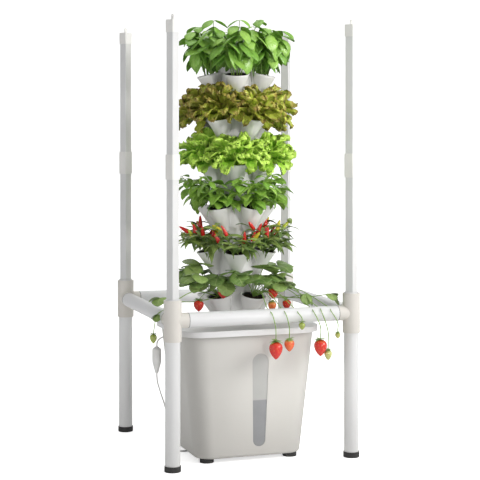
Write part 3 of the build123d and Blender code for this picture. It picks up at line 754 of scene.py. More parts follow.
# %% Tier lips and tiers
lip_radius = 0.0016
lip_flatness = 0.7
lip_inset = 0.0012
lip_steps = 10
lip_profile = []
for step in range(lip_steps + 1):
    angle = 2 * math.pi * step / lip_steps
    lip_height = lip_radius * lip_flatness * math.sin(angle)
    lip_profile.append((lip_height, mouth_radius - lip_inset + lip_radius * math.cos(angle)))
lip_parts = [turned(lip_profile, round_steps, in_pocket(0, 0, pocket)) for pocket in range(pocket_count)]
lip_cast = welded_mesh("lips", lip_parts)
tier_shape = bmesh.new()
tier_shape.from_mesh(tier_cast)
tier_shape.from_mesh(lip_cast)
for tier in range(1, tier_count + 1):
    spin = Matrix.Translation((tower_x, tower_y, tier_base(tier))) @ Matrix.Rotation(tier_turn(tier), 4, "Z")
    shell_mesh = bpy.data.meshes.new(f"tier_{tier}_shell")
    tier_shape.to_mesh(shell_mesh)
    shell_mesh.transform(spin @ at_axis.inverted())
    shell_mesh.shade_smooth()
    shell_mesh.materials.clear()
    shell_mesh.materials.append(tier_shell)
    shell = link_object(f"tier_{tier}_shell", shell_mesh)
    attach(shell, "tower")
    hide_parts(f"tower_tier_{tier}")
tier_shape.free()
bpy.data.meshes.remove(tier_cast)
bpy.data.meshes.remove(lip_cast)
print("six tier shells")

# %% [markdown]
# ## Net cups and growing medium
# Each pocket holds a black net cup, wedged just below the lip, and a dark crumbly growing medium in it.
# The cup is a turned ring with a basket below. The medium is a low mound of crumbs: a lumpy disc with
# small broken lumps strewn on it by a seeded random draw, so that it comes out the same every time.

# %% Net cups
cup_steps = 40
cup_inset = 0.002
cup_depth = 0.044
cup_wall = 0.0015
cup_play = 0.0003
cup_radius = funnel_radius(cup_inset) - pocket_wall - cup_play
cup_foot = funnel_radius(cup_inset + cup_depth) - pocket_wall - cup_play
cup_floor = -cup_inset - cup_depth
cup_rim = [(-0.0011, 0.0004), (-0.0008, 0.0022), (-0.0016, 0.0032), (-0.008, 0.0054)]
cup_profile = [
    (-cup_inset, cup_radius),
    *[(height, cup_radius - inward) for height, inward in cup_rim],
    (cup_floor + cup_wall, cup_foot - cup_wall),
    (cup_floor + cup_wall, 0),
    (cup_floor, 0),
    (cup_floor, cup_foot),
    (-cup_inset, cup_radius),
]


def all_pockets():
    """Places in every pocket of the tower."""
    for tier in range(1, tier_count + 1):
        for pocket in range(pocket_count):
            yield in_pocket(tier_turn(tier), tier_base(tier), pocket)


def tower_piece(name, mesh, material, slot, *nodes):
    """Object that rides on the tower and stands for construction nodes."""
    mesh.materials.append(material)
    piece = link_object(name, mesh)
    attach(piece, "tower")
    if nodes:
        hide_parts(*nodes)
    return piece


cup_parts = [turned(cup_profile, cup_steps, place) for place in all_pockets()]
tower_piece("net_cup_rings", welded_mesh("net_cup_rings", cup_parts), cup_black, "cup_black", "net_cups")
print(len(cup_parts), "net cups")

# %% Growing medium
medium_rng = np.random.default_rng(7)
medium_rings = 7
medium_steps = 26
medium_radius = cup_radius - 0.0036
medium_top = -0.0035
medium_fall = 0.0015
medium_under = -0.012
lump_height = 0.0012
crumb_height = -0.003
crumbs_per_cup = 34
crumb_faces = [(0, 2, 4), (2, 1, 4), (1, 3, 4), (3, 0, 4), (2, 0, 5), (1, 2, 5), (3, 1, 5), (0, 3, 5)]
crumb_axes = np.array([(1, 0, 0), (-1, 0, 0), (0, 1, 0), (0, -1, 0), (0, 0, 1), (0, 0, -1)], float)
medium_parts = []
for places in all_pockets():
    place = places(0)
    ground = []
    for ring in range(medium_rings + 1):
        radius = medium_radius * ring / medium_rings
        for step in range(medium_steps):
            angle = 2 * math.pi * step / medium_steps
            lump = medium_rng.uniform(-lump_height, lump_height) * (ring not in (0, medium_rings))
            height = medium_top - medium_fall * (ring / medium_rings) ** 2 + lump
            ground.append(place @ Vector((radius * math.cos(angle), radius * math.sin(angle), height)))
    under = [place @ Vector((0, 0, medium_under))] * medium_steps
    medium_parts.append((ground + under, grid_faces(medium_rings + 2, medium_steps, wrap=True)))
    for crumb in range(crumbs_per_cup):
        angle = medium_rng.uniform(0, 2 * math.pi)
        reach = medium_radius * math.sqrt(medium_rng.uniform(0, 0.9))
        size = medium_rng.uniform(0.0012, 0.0030)
        stretch = medium_rng.uniform(0.6, 1.3, (6, 1))
        jitter = crumb_axes * size * stretch + medium_rng.normal(0, size / 6, (6, 3))
        spot = Vector((reach * math.cos(angle), reach * math.sin(angle), crumb_height))
        medium_parts.append(([place @ (spot + Vector(corner)) for corner in jitter], crumb_faces))
soil, soil_shader = principled("growing_medium", Roughness=0.9, Specular_IOR_Level=0.2)
soil_tree = soil.node_tree
soil_grain = noise_over(soil_tree, object_place(soil_tree)[0], 420.0, 5.0).outputs["Fac"]
soil_share = smooth_mask(soil_tree, soil_grain, 0.35, 0.7)
soil_colour = blend_colour(soil_tree, soil_share, (0.012, 0.009, 0.007), (0.060, 0.044, 0.032))
soil_tree.links.new(soil_colour, soil_shader.inputs["Base Color"])
raise_surface(soil_tree, soil_shader, soil_grain, 0.6, 0.001)
tower_piece("growing_medium", welded_mesh("growing_medium", medium_parts), soil, "cup_black")
print("growing medium in", len(medium_parts) // (crumbs_per_cup + 1), "cups")

# %% [markdown]
# ## How a leaf grows here
# Every leaf is a small sheet of points. One number runs along it from stalk to tip and one across it, and
# from these two come its outline, the way it bows under its weight, its fold along the midrib, its
# frilled or toothed edge and the puckers between its veins. The same two numbers are kept on the mesh, so
# that the material can draw the veins exactly where the shape has them. A thickness modifier then makes
# each sheet a closed blade.

# %% Gathered surfaces
class Growth:
    """Points, faces and leaf coordinates of many small surfaces, gathered into one mesh."""

    def __init__(self):
        self.points = []
        self.faces = []
        self.coords = []
        self.count = 0

    def add(self, grid, coords, wrap=False, caps=False):
        rows, columns = grid.shape[:2]
        self.points.append(grid.reshape(-1, 3))
        self.coords.append(coords.reshape(-1, 3))
        self.faces += grid_faces(rows, columns, self.count, wrap)
        if caps:
            last = self.count + (rows - 1) * columns
            self.faces.append(tuple(range(self.count, self.count + columns))[::-1])
            self.faces.append(tuple(range(last, last + columns)))
        self.count += rows * columns

    def mesh(self, name):
        made = bpy.data.meshes.new(name)
        made.from_pydata(np.concatenate(self.points).tolist(), [], self.faces)
        attribute = made.attributes.new("leaf_coords", "FLOAT_VECTOR", "POINT")
        attribute.data.foreach_set("vector", np.concatenate(self.coords).astype(np.float32).ravel())
        solid = bmesh.new()
        solid.from_mesh(made)
        bmesh.ops.recalc_face_normals(solid, faces=solid.faces)
        solid.to_mesh(made)
        solid.free()
        made.shade_smooth()
        return made


print("a new growth has", Growth().count, "points")

# %% Paths and stems
def ahead_of(heading):
    """Level direction of a heading."""
    return np.array([math.cos(heading), math.sin(heading), 0])


def up_by(height):
    """Step straight up."""
    return np.array([0, 0, height])


def bowed_path(base, heading, rise, length, droop, steps):
    """Points of a line that starts at a base with a heading and a rise and droops along it, and its rises."""
    rises = rise - droop * np.linspace(0, 1, steps)
    between = (rises[1:] + rises[:-1]) / 2
    step = length / (steps - 1)
    forward = np.concatenate([[0], np.cumsum(np.cos(between) * step)])
    upward = np.concatenate([[0], np.cumsum(np.sin(between) * step)])
    points = np.asarray(base) + forward[:, None] * ahead_of(heading) + upward[:, None] * up_by(1.0)
    return points, rises


def grow_tube(growth, line, radii, sides=7, tone=0.5):
    """Round stem along a line of points with a radius at each."""
    line = np.asarray(line, float)
    radii = np.broadcast_to(np.asarray(radii, float), (len(line),))
    along = np.gradient(line, axis=0)
    along /= np.linalg.norm(along, axis=1)[:, None]
    aside = np.cross(along, np.array([0.31, 0.17, 0.93]))
    aside /= np.linalg.norm(aside, axis=1)[:, None]
    third = np.cross(along, aside)
    angles = np.linspace(0, 2 * math.pi, sides, endpoint=False)
    ring = np.cos(angles)[None, :, None] * aside[:, None] + np.sin(angles)[None, :, None] * third[:, None]
    grid = line[:, None] + ring * radii[:, None, None]
    share = np.linspace(0, 1, len(line))
    coords = np.stack(np.broadcast_arrays(np.sin(angles)[None], share[:, None], tone), axis=-1)
    growth.add(grid, coords, wrap=True, caps=True)


trial_path = bowed_path((0, 0, 0), 0, math.radians(60), 0.1, 0.5, 9)[0]
print("a bowed stem of 0.1 m ends at", trial_path[-1].round(3).tolist())

# %% Leaf blades and plant spots
def grow_leaf(growth, kind, rng, base, heading, rise, length, half_width, droop, roll=0.0, tone=0.5):
    """One leaf of a kind, as a sheet of points from its base."""
    rows, columns = kind["grid"]
    t = np.linspace(0, 1, rows)[:, None]
    s = np.linspace(-1, 1, columns)[None, :]
    line, rises = bowed_path(base, heading, rise, length, droop, rows)
    ahead = ahead_of(heading)
    up = up_by(1.0)
    tangent = np.cos(rises)[:, None] * ahead + np.sin(rises)[:, None] * up
    face = np.cos(rises)[:, None] * up - np.sin(rises)[:, None] * ahead
    side = np.cross(up, ahead)[None, :] * math.cos(roll) + face * math.sin(roll)
    face = np.cross(tangent, side)
    width = half_width * np.maximum(kind["outline"](t), 0.03)
    saw = 1 - 2 * np.mod(t * kind.get("teeth", 0), 1)
    reach = s * width * (1 + kind.get("tooth", 0) * np.abs(s) ** 5 * saw)
    fold = kind.get("fold", 0)
    height = np.abs(s) * width * math.sin(fold) - kind.get("curl", 0) * s**2 * width
    edge = np.clip(np.maximum(np.abs(s) ** 1.5, (t - 0.5) / 0.5), 0, 1) ** 2
    around = np.arctan2(s, t - 0.35)
    waves = kind.get("waves", 0)
    phase = rng.uniform(0, 6.28, 3)
    frill = np.sin(waves * around + phase[0]) + 0.55 * np.sin(2.3 * waves * around + phase[1])
    height = height + kind.get("ruffle", 0) * edge * frill * (0.6 + 0.4 * np.sin(3 * around + phase[2]))
    vein = kind.get("veins", 5)
    quilt = np.cos(2 * math.pi * (t * vein - np.abs(s) * 1.2)) * np.sqrt(np.abs(s)) * (1 - s**2)
    height = height - kind.get("pucker", 0) * quilt
    slip = kind.get("ruffle", 0) * 0.6 * edge * np.cos(waves * around + phase[1])
    grid = line[:, None] + side[:, None] * (reach * math.cos(fold))[:, :, None]
    grid = grid + face[:, None] * height[:, :, None]
    grid = grid + tangent[:, None] * np.broadcast_to(slip, reach.shape)[:, :, None]
    growth.add(grid, np.stack(np.broadcast_arrays(s, t, tone), axis=-1))


def grow_stalked_leaf(leaves, stems, kind, rng, node, heading, stalk, rise, fall, size, half_width, droop,
                      tone):
    """One leaf on a stalk, bent down where the blade begins."""
    line, rises = bowed_path(node, heading, rise, stalk, 0.4, 5)
    grow_tube(stems, line, 0.0008, 5)
    roll = rng.uniform(-0.35, 0.35)
    grow_leaf(leaves, kind, rng, line[-1], heading, rises[-1] - fall, size, half_width, droop, roll, tone)


def plant_spots(tier):
    """Middle of the medium and outward angle of each pocket of a tier."""
    planting_depth = 0.004
    for pocket in range(pocket_count):
        place = in_pocket(tier_turn(tier), tier_base(tier), pocket)(0)
        outward = tier_turn(tier) + 2 * math.pi * pocket / pocket_count
        yield np.array(place @ Vector((0, 0, -planting_depth))), outward


def leaf_piece(name, growth, material, slot, thickness, *nodes):
    """Object of all the leaves of a crop, with a blade's thickness."""
    piece = tower_piece(name, growth.mesh(name), material, slot, *nodes)
    blade = piece.modifiers.new("blade", "SOLIDIFY")
    blade.thickness = thickness
    blade.offset = 0


print("plant spots in a tier", len(list(plant_spots(1))))

# %% [markdown]
# ## Leaf surface
# Leaves differ in colour and gloss, but all have a midrib with side veins, patches of lighter and darker
# green, and an edge that may change colour. This is one node group again. It reads the leaf coordinates,
# so the veins run out from the midrib at a slant and every leaf can be a little younger or older than the
# next. On the lettuces the same number also carries painted light and shade, set pocket by pocket.

# %% Leaf surface group
def leaf_axes(tree):
    """The numbers kept on a leaf or fruit: across it, along it, and its age, on lettuces also painted light.
    """
    axes = add_node(tree, "ShaderNodeSeparateXYZ")
    kept = add_node(tree, "ShaderNodeAttribute", attribute_name="leaf_coords")
    tree.links.new(kept.outputs["Vector"], axes.inputs[0])
    return axes.outputs


def leaf_surface_group():
    """Colour and height of a leaf blade from its leaf coordinates."""
    group = bpy.data.node_groups.new("leaf_surface", "ShaderNodeTree")
    for name in ("Young", "Old", "Vein", "Edge"):
        socket(group, name, "INPUT", "NodeSocketColor", (0.1, 0.3, 0.05, 1))
    socket(group, "Edge Start", "INPUT", value=0.8)
    socket(group, "Vein Count", "INPUT", value=6.0)
    socket(group, "Vein Strength", "INPUT", value=0.4)
    socket(group, "Colour", "OUTPUT", "NodeSocketColor")
    socket(group, "Height", "OUTPUT")
    start = add_node(group, "NodeGroupInput")
    end = add_node(group, "NodeGroupOutput")
    axes = leaf_axes(group)
    across = math_node(group, "ABSOLUTE", axes["X"])
    along = axes["Y"]
    steps = math_node(group, "MULTIPLY", along, start.outputs["Vein Count"])
    slanted = math_node(group, "SUBTRACT", steps, math_node(group, "MULTIPLY", across, 1.2))
    from_vein = math_node(group, "PINGPONG", slanted, 0.5)
    side_vein = math_node(group, "SUBTRACT", 1.0, smooth_mask(group, from_vein, 0.02, 0.13))
    inner_part = math_node(group, "SUBTRACT", 1.0, smooth_mask(group, across, 0.5, 0.95))
    side_vein = math_node(group, "MULTIPLY", side_vein, inner_part)
    midrib = math_node(group, "SUBTRACT", 1.0, smooth_mask(group, across, 0.02, 0.09))
    veins = math_node(group, "MAXIMUM", midrib, math_node(group, "MULTIPLY", side_vein, 0.7))
    mottle = noise_over(group, object_place(group)[0], 95.0, 4.0).outputs["Fac"]
    uneven = math_node(group, "MULTIPLY", math_node(group, "SUBTRACT", mottle, 0.5), 0.9)
    # The age picks between the young and old greens; on the lettuces it also carries painted light and shade,
    # set per pocket.
    age_and_light = math_node(group, "ADD", axes["Z"], uneven, clamp=True)
    colour = blend_colour(group, age_and_light, start.outputs["Young"], start.outputs["Old"])
    rim = add_node(group, "ShaderNodeMapRange", interpolation_type="SMOOTHSTEP", in_2=1.0)
    group.links.new(math_node(group, "MAXIMUM", across, along), rim.inputs[0])
    group.links.new(start.outputs["Edge Start"], rim.inputs[1])
    blotches = math_node(group, "ADD", mottle, 0.25)
    rim_share = math_node(group, "MULTIPLY", rim.outputs[0], blotches, clamp=True)
    colour = blend_colour(group, rim_share, colour, start.outputs["Edge"])
    vein_share = math_node(group, "MULTIPLY", veins, start.outputs["Vein Strength"])
    group.links.new(blend_colour(group, vein_share, colour, start.outputs["Vein"]), end.inputs["Colour"])
    raised = math_node(group, "SUBTRACT", mottle, veins)
    group.links.new(raised, end.inputs["Height"])
    return group


leaf_surface = leaf_surface_group()


def leaf_material(name, young, old, vein, edge, edge_start, vein_count, vein_strength, bump=0.5, **sockets):
    """Leaf finish with its own greens, veins and edge."""
    material, shader = principled(name, **sockets)
    tree = material.node_tree
    surface = add_node(tree, "ShaderNodeGroup", node_tree=leaf_surface)
    for key, colour in (("Young", young), ("Old", old), ("Vein", vein), ("Edge", edge)):
        surface.inputs[key].default_value = (*colour, 1)
    surface.inputs["Edge Start"].default_value = edge_start
    surface.inputs["Vein Count"].default_value = vein_count
    surface.inputs["Vein Strength"].default_value = vein_strength
    tree.links.new(surface.outputs["Colour"], shader.inputs["Base Color"])
    raise_surface(tree, shader, surface.outputs["Height"], bump, 0.0008)
    return material


stem_green = leaf_material("stem_green", (0.30, 0.46, 0.11), (0.18, 0.33, 0.06), (0.36, 0.50, 0.17),
                           (0.20, 0.36, 0.08), 0.9, 3.0, 0.2, 0.2, Roughness=0.45)
print("group", leaf_surface.name, "and", stem_green.name)

# %% [markdown]
# ## Basil
# Basil grows in pairs of broad, glossy, puckered leaves, each pair turned square to the one below, on a
# few thin stems. The leaves bow right over under their weight, so most hang with their tips down and the
# lower ones reach the lip of the pocket. At the top of each stem sits a tuft of small young leaves.

# %% Plants with paired leaves
def grow_paired(name, tier, blade, material, seed, habit):
    """Plants of a tier whose stems carry pairs of leaves, each pair turned square to the one below."""
    rng = np.random.default_rng(seed)
    leaves = Growth()
    stems = Growth()
    steps = habit["steps"]
    levels = habit["levels"]
    for spot, outward in plant_spots(tier):
        for stem in range(5):
            heading = outward + (stem - 2) * habit["fan"] + rng.uniform(-habit["stray"], habit["stray"])
            foot = spot + habit["foot"] * ahead_of(heading)
            height = rng.uniform(*habit["height"])
            rise = math.radians(rng.uniform(*habit["rise"]))
            line = bowed_path(foot, heading, rise, height, habit["bow"], steps)[0]
            grow_tube(stems, line, np.linspace(*habit["thickness"], steps))
            turn = rng.uniform(0, math.pi)
            for level, (share, size) in enumerate(levels):
                size *= rng.uniform(*habit["vigour"])
                top = habit["tuft"] * level / (len(levels) - 1)
                for way in (0, math.pi):
                    leaf_heading = turn + way + rng.uniform(-habit["twist"], habit["twist"])
                    leaf_rise = math.radians(rng.uniform(*habit["leaf_rise"]) + 15 * top)
                    fall = math.radians(rng.uniform(*habit["fall"]) * (1 - 0.35 * top))
                    half_width = size * rng.uniform(*habit["width"])
                    droop = math.radians(rng.uniform(*habit["droop"]))
                    tone = rng.uniform(*habit["tone"]) * (1 - 0.4 * top)
                    node = line[int(share * (steps - 1))]
                    stalk = habit["stalk"] - 0.012 * top
                    grow_stalked_leaf(leaves, stems, blade, rng, node, leaf_heading, stalk, leaf_rise, fall,
                                      size, half_width, droop, tone)
                turn += math.pi / 2
    leaf_piece(f"{name}_leaves", leaves, material, f"{name}_leaf", 0.0005, f"{name}_plants")
    tower_piece(f"{name}_stems", stems.mesh(f"{name}_stems"), stem_green, f"{name}_leaf")
    print(name, leaves.count, "leaf points")


# %% Basil
def ovate(t):
    return np.sin(math.pi * t**0.82) ** 0.72 * (1 - 0.12 * t)


basil_blade = {"grid": (13, 11), "outline": ovate, "fold": 0.10, "curl": 0.24, "pucker": 0.0015, "veins": 5}
basil_leaf = leaf_material("basil_leaf", (0.33, 0.57, 0.10), (0.11, 0.30, 0.03), (0.42, 0.62, 0.17),
                           (0.16, 0.36, 0.04), 0.75, 5.0, 0.35, 0.5, Roughness=0.30, Specular_IOR_Level=0.55)
basil_habit = {
    "fan": 0.78, "stray": 0.2, "foot": 0.012, "height": (0.096, 0.156), "rise": (68, 84), "bow": 0.12,
    "steps": 16, "thickness": (0.0018, 0.0009), "vigour": (0.85, 1.15), "tuft": 1, "twist": 0.35,
    "stalk": 0.017, "leaf_rise": (25, 50), "fall": (30, 85), "width": (0.34, 0.42), "droop": (30, 70),
    "tone": (0.05, 0.95),
    "levels": [(0.42, 0.046), (0.54, 0.054), (0.67, 0.057), (0.81, 0.057), (0.92, 0.052), (1.0, 0.044)],
}
grow_paired("basil", 1, basil_blade, basil_leaf, 11, basil_habit)

# %% [markdown]
# ## Lettuces
# Both lettuces are rosettes of broad leaves with a frilled edge. The heart stands up, and the outer
# leaves arch over and fall past the lip. The red one is broader and browns at its edges, the green one is
# frilled much finer. The core is behind them, so the leaves crowd to the outside. The edge of a leaf is
# longer than the leaf can hold flat, so it waves up and down, more and more towards the rim. Each pocket
# draws its leaves' ages from a range of its own, and these ranges paint light and shade: lighter greens in
# the pockets towards the key light at the right, darker ones at the left and back.

# %% Lettuces
def fan(t):
    opening = np.clip((t - 0.05) / 0.6, 0, 1)
    closing = np.clip((t - 0.62) / 0.38, 0, 1)
    return (0.20 + 0.80 * opening**2 * (3 - 2 * opening)) * np.sqrt(np.maximum(1 - closing**2.2, 0.02))


red_blade = {"grid": (22, 41), "outline": fan, "fold": 0.10, "curl": -0.16, "ruffle": 0.0076, "waves": 23,
             "pucker": 0.0026, "veins": 4}
green_blade = {"grid": (22, 45), "outline": fan, "fold": 0.08, "curl": -0.14, "ruffle": 0.0080, "waves": 28,
               "pucker": 0.0026, "veins": 4}
red_leaf = leaf_material("red_lettuce_leaf", (0.58, 0.70, 0.085), (0.24, 0.25, 0.030), (0.60, 0.70, 0.18),
                         (0.33, 0.22, 0.05), 0.90, 4.0, 0.35, 0.6, Roughness=0.38, Specular_IOR_Level=0.5)
# The green lettuce's pale edge colour is partly the frills' own paler green and partly a painted highlight on
# the frills.
green_leaf = leaf_material("green_lettuce_leaf", (0.44, 0.76, 0.07), (0.18, 0.47, 0.025), (0.56, 0.78, 0.20),
                           (0.60, 0.84, 0.14), 0.66, 4.0, 0.35, 0.6, Roughness=0.38, Specular_IOR_Level=0.5)


def grow_lettuce(name, tier, blade, material, slot, seed, leaf_count, longest, age_and_light_tones):
    """Rosettes of frilled leaves in the pockets of a tier, from hanging outer ones to an upright heart."""
    rng = np.random.default_rng(seed)
    leaves = Growth()
    for (spot, outward), (tone_low, tone_high) in zip(plant_spots(tier), age_and_light_tones):
        for k in range(leaf_count):
            heart = k / (leaf_count - 1)
            spread = math.remainder(2.4 * k, 2 * math.pi) * (0.62 - 0.12 * heart)
            heading = outward + spread + rng.uniform(-0.15, 0.15)
            base = spot + 0.010 * ahead_of(heading)
            droop = math.radians(104 - 76 * heart + rng.uniform(-24, 24))
            rise = math.radians(40 + 42 * heart + rng.uniform(-14, 14))
            size = longest * (0.88 + 0.10 * heart) * rng.uniform(0.84, 1.06)
            grow_leaf(leaves, blade, rng, base, heading, rise, size, size * rng.uniform(0.19, 0.28), droop,
                      rng.uniform(-0.6, 0.6), rng.uniform(tone_low, tone_high))
    leaf_piece(name, leaves, material, slot, 0.0005, slot.replace("_leaf", "_plants"))
    print(name, leaves.count, "leaf points")


# Leaf age ranges per pocket, round from the front by the right, back and left: the pockets towards the key
# light get lighter greens as painted light, and those at the back and left darker ones as painted shade.
grow_lettuce("red_lettuce_leaves", 2, red_blade, red_leaf, "red_lettuce_leaf", 21, 34, 0.104,
             [(0.0, 0.8), (0.0, 0.5), (0.2, 0.8), (0.4, 1.0), (0.25, 1.0)])
grow_lettuce("green_lettuce_leaves", 3, green_blade, green_leaf, "green_lettuce_leaf", 31, 36, 0.098,
             [(0.0, 0.6), (0.0, 0.5), (0.2, 0.7), (0.3, 0.9), (0.40, 1.0)])

# %% [markdown]
# ## Mint
# Mint has slim stems with pairs of narrow, toothed leaves close above each other, darker and less glossy
# than basil. It grows by the same rule, with its own measures and without the tuft.

# %% Mint
def elliptic(t):
    return np.sin(math.pi * t**0.92) ** 0.85


mint_blade = {"grid": (19, 7), "outline": elliptic, "fold": 0.22, "curl": 0.12, "teeth": 9, "tooth": 0.10,
              "pucker": 0.0009, "veins": 7}
mint_leaf = leaf_material("mint_leaf", (0.38, 0.60, 0.10), (0.14, 0.32, 0.030), (0.46, 0.64, 0.18),
                          (0.18, 0.37, 0.04), 0.8, 7.0, 0.4, 0.5, Roughness=0.38)
mint_habit = {
    "fan": 0.72, "stray": 0.25, "foot": 0.010, "height": (0.072, 0.112), "rise": (50, 80), "bow": 0.2,
    "steps": 14, "thickness": (0.0015, 0.0007), "vigour": (0.85, 1.12), "tuft": 0, "twist": 0.3,
    "stalk": 0.006, "leaf_rise": (20, 55), "fall": (0, 35), "width": (0.27, 0.33), "droop": (20, 75),
    "tone": (0.05, 1.0),
    "levels": [(0.24, 0.046), (0.42, 0.055), (0.60, 0.056), (0.78, 0.050), (0.92, 0.038), (1.0, 0.026)],
}
grow_paired("mint", 4, mint_blade, mint_leaf, 41, mint_habit)

# %% [markdown]
# ## Chilli
# The chilli plants fork into short branches with narrow, dark, hanging leaves. Slim fruits stand upright
# above them, ripening from green through yellow to red, with a few small white flowers below. A fruit is
# a turned cone with a bent tip on a short stalk, and its ripeness is kept with its points, so one skin
# serves all of them.

# %% Chilli finishes
def lance(t):
    return np.sin(math.pi * t**0.8) ** 1.05


chilli_blade = {"grid": (11, 5), "outline": lance, "fold": 0.30, "curl": 0.05, "veins": 7}
petal_blade = {"grid": (6, 5), "outline": elliptic, "fold": 0.15, "curl": -0.15}
chilli_leaf = leaf_material("chilli_leaf", (0.30, 0.41, 0.10), (0.075, 0.145, 0.028), (0.38, 0.46, 0.16),
                            (0.11, 0.19, 0.04), 0.8, 7.0, 0.35, 0.4, Roughness=0.40)
petal_white = leaf_material("petal_white", (0.86, 0.85, 0.76), (0.80, 0.79, 0.66), (0.78, 0.78, 0.60),
                            (0.90, 0.90, 0.86), 0.7, 4.0, 0.3, 0.3, Roughness=0.55)


def ripening_skin(name, stops, seed_colour, **sockets):
    """Fruit skin whose colour follows the ripeness kept on the mesh, with seeds where the mesh has them."""
    material, shader = principled(name, **sockets)
    tree = material.node_tree
    axes = leaf_axes(tree)
    patches = noise_over(tree, object_place(tree)[0], 140.0, 3.0).outputs["Fac"]
    uneven = math_node(tree, "MULTIPLY", math_node(tree, "SUBTRACT", patches, 0.5), 0.25)
    from_top = math_node(tree, "SUBTRACT", 1.0, smooth_mask(tree, axes["Y"], 0.0, 0.3))
    shoulder = math_node(tree, "MULTIPLY", from_top, 0.18)
    ripe = math_node(tree, "SUBTRACT", math_node(tree, "ADD", axes["Z"], uneven), shoulder)
    ramp = add_node(tree, "ShaderNodeValToRGB")
    ramp.color_ramp.elements.remove(ramp.color_ramp.elements[1])
    for k, (position, colour) in enumerate(stops):
        element = ramp.color_ramp.elements[0] if k == 0 else ramp.color_ramp.elements.new(position)
        element.position = position
        element.color = (*colour, 1)
    tree.links.new(ripe, ramp.inputs["Fac"])
    seeds = smooth_mask(tree, axes["X"], 0.45, 0.75)
    tree.links.new(blend_colour(tree, seeds, ramp.outputs["Color"], seed_colour), shader.inputs["Base Color"])
    raise_surface(tree, shader, patches, 0.25, 0.0005)
    return material


chilli_stops = [
    (0.0, (0.10, 0.22, 0.03)),
    (0.3, (0.50, 0.56, 0.04)),
    (0.5, (0.80, 0.36, 0.02)),
    (0.7, (0.72, 0.030, 0.014)),
    (1.0, (0.52, 0.010, 0.010)),
]
chilli_skin = ripening_skin("chilli_skin", chilli_stops, (0.5, 0.02, 0.01), Roughness=0.22,
                            Specular_IOR_Level=0.6)
print("chilli skin with", len(chilli_stops), "colours")

# %% Chilli plants
def grow_chilli(growth, base, heading, rise, length, radius, ripeness):
    """Slim pointed fruit with a bent tip."""
    rows = 12
    line = bowed_path(base, heading, rise, length, 0.25, rows)[0]
    share = np.linspace(0, 1, rows)
    radii = radius * np.minimum(1, (share / 0.12 + 0.25)) * np.sqrt(np.maximum(1 - share**1.7, 0.004))
    grow_tube(growth, line, radii, 10, ripeness)
    growth.coords[-1][:, 0] = 0


def grow_flower(petals, hearts, rng, middle, petal_count, size, tilt):
    """Open flower with petals round a small heart, facing a tilt from straight up."""
    for k in range(petal_count):
        heading = tilt + 2 * math.pi * k / petal_count
        grow_leaf(petals, petal_blade, rng, middle, heading, math.radians(28), size, size * 0.40,
                  math.radians(35), 0, rng.uniform(0, 1))
    heart_line = [middle + up_by(z) for z in (-0.001, 0.0008, 0.0018, 0.0024)]
    grow_tube(hearts, heart_line, np.array([0.5, 1.0, 0.8, 0.2]) * size * 0.26, 8)


chilli_rng = np.random.default_rng(51)
chilli_leaves = Growth()
chilli_stems = Growth()
chilli_fruits = Growth()
flower_petals = Growth()
flower_hearts = Growth()
for spot, outward in plant_spots(5):
    for branch in range(9):
        heading = outward + (branch - 4) * 0.42 + chilli_rng.uniform(-0.2, 0.2)
        rise = math.radians(chilli_rng.uniform(18, 66))
        reach = chilli_rng.uniform(0.070, 0.112)
        line = bowed_path(spot, heading, rise, reach, 0.3, 13)[0]
        grow_tube(chilli_stems, line, np.linspace(0.0018, 0.0007, 13))
        for level in range(8):
            node = line[5 + level]
            turn = heading + 2.4 * level + chilli_rng.uniform(-0.4, 0.4)
            size = chilli_rng.uniform(0.050, 0.072) * (1 - 0.03 * level)
            rise = math.radians(chilli_rng.uniform(-5, 45))
            droop = math.radians(chilli_rng.uniform(35, 100))
            grow_leaf(chilli_leaves, chilli_blade, chilli_rng, node, turn, rise, size, size * 0.14, droop,
                      chilli_rng.uniform(-0.5, 0.5), chilli_rng.uniform(0, 1))
        if branch != 4:
            lean = heading + chilli_rng.uniform(-0.8, 0.8)
            ripeness = chilli_rng.choice([0.28, 0.36, 0.84, 0.87, 0.90, 0.92, 0.95])
            stalk = bowed_path(line[8], lean, math.radians(72), 0.012, 0.1, 5)[0]
            grow_tube(chilli_stems, stalk, np.linspace(0.0008, 0.0018, 5))
            grow_chilli(chilli_fruits, stalk[-1], lean, math.radians(chilli_rng.uniform(40, 86)),
                        chilli_rng.uniform(0.029, 0.037), chilli_rng.uniform(0.0053, 0.0065), ripeness)
        if branch in (2, 4, 6):
            bloom = line[8] + up_by(0.006)
            grow_flower(flower_petals, flower_hearts, chilli_rng, bloom, 5, 0.0085, heading)
leaf_piece("chilli_leaves", chilli_leaves, chilli_leaf, "chilli_leaf", 0.0004, "chilli_plants")
tower_piece("chilli_stems", chilli_stems.mesh("chilli_stems"), stem_green, "chilli_leaf")
tower_piece("chilli_fruits", chilli_fruits.mesh("chilli_fruits"), chilli_skin, "chilli_leaf")
print("chilli", chilli_leaves.count, "leaf points,", chilli_fruits.count, "fruit points")

# %% [markdown]
# ## Strawberry
# Strawberry leaves stand on long stalks in threes, with toothed, folded leaflets. Fruits lie on the lips
# of the pockets, and some hang on thin stalks over the front rail, which is the part of the plant that
# the eye goes to. A fruit is a turned heart shape whose surface is pressed in round each seed.

# %% Strawberry finishes
def obovate(t):
    return np.sin(math.pi * t**1.12) ** 0.62


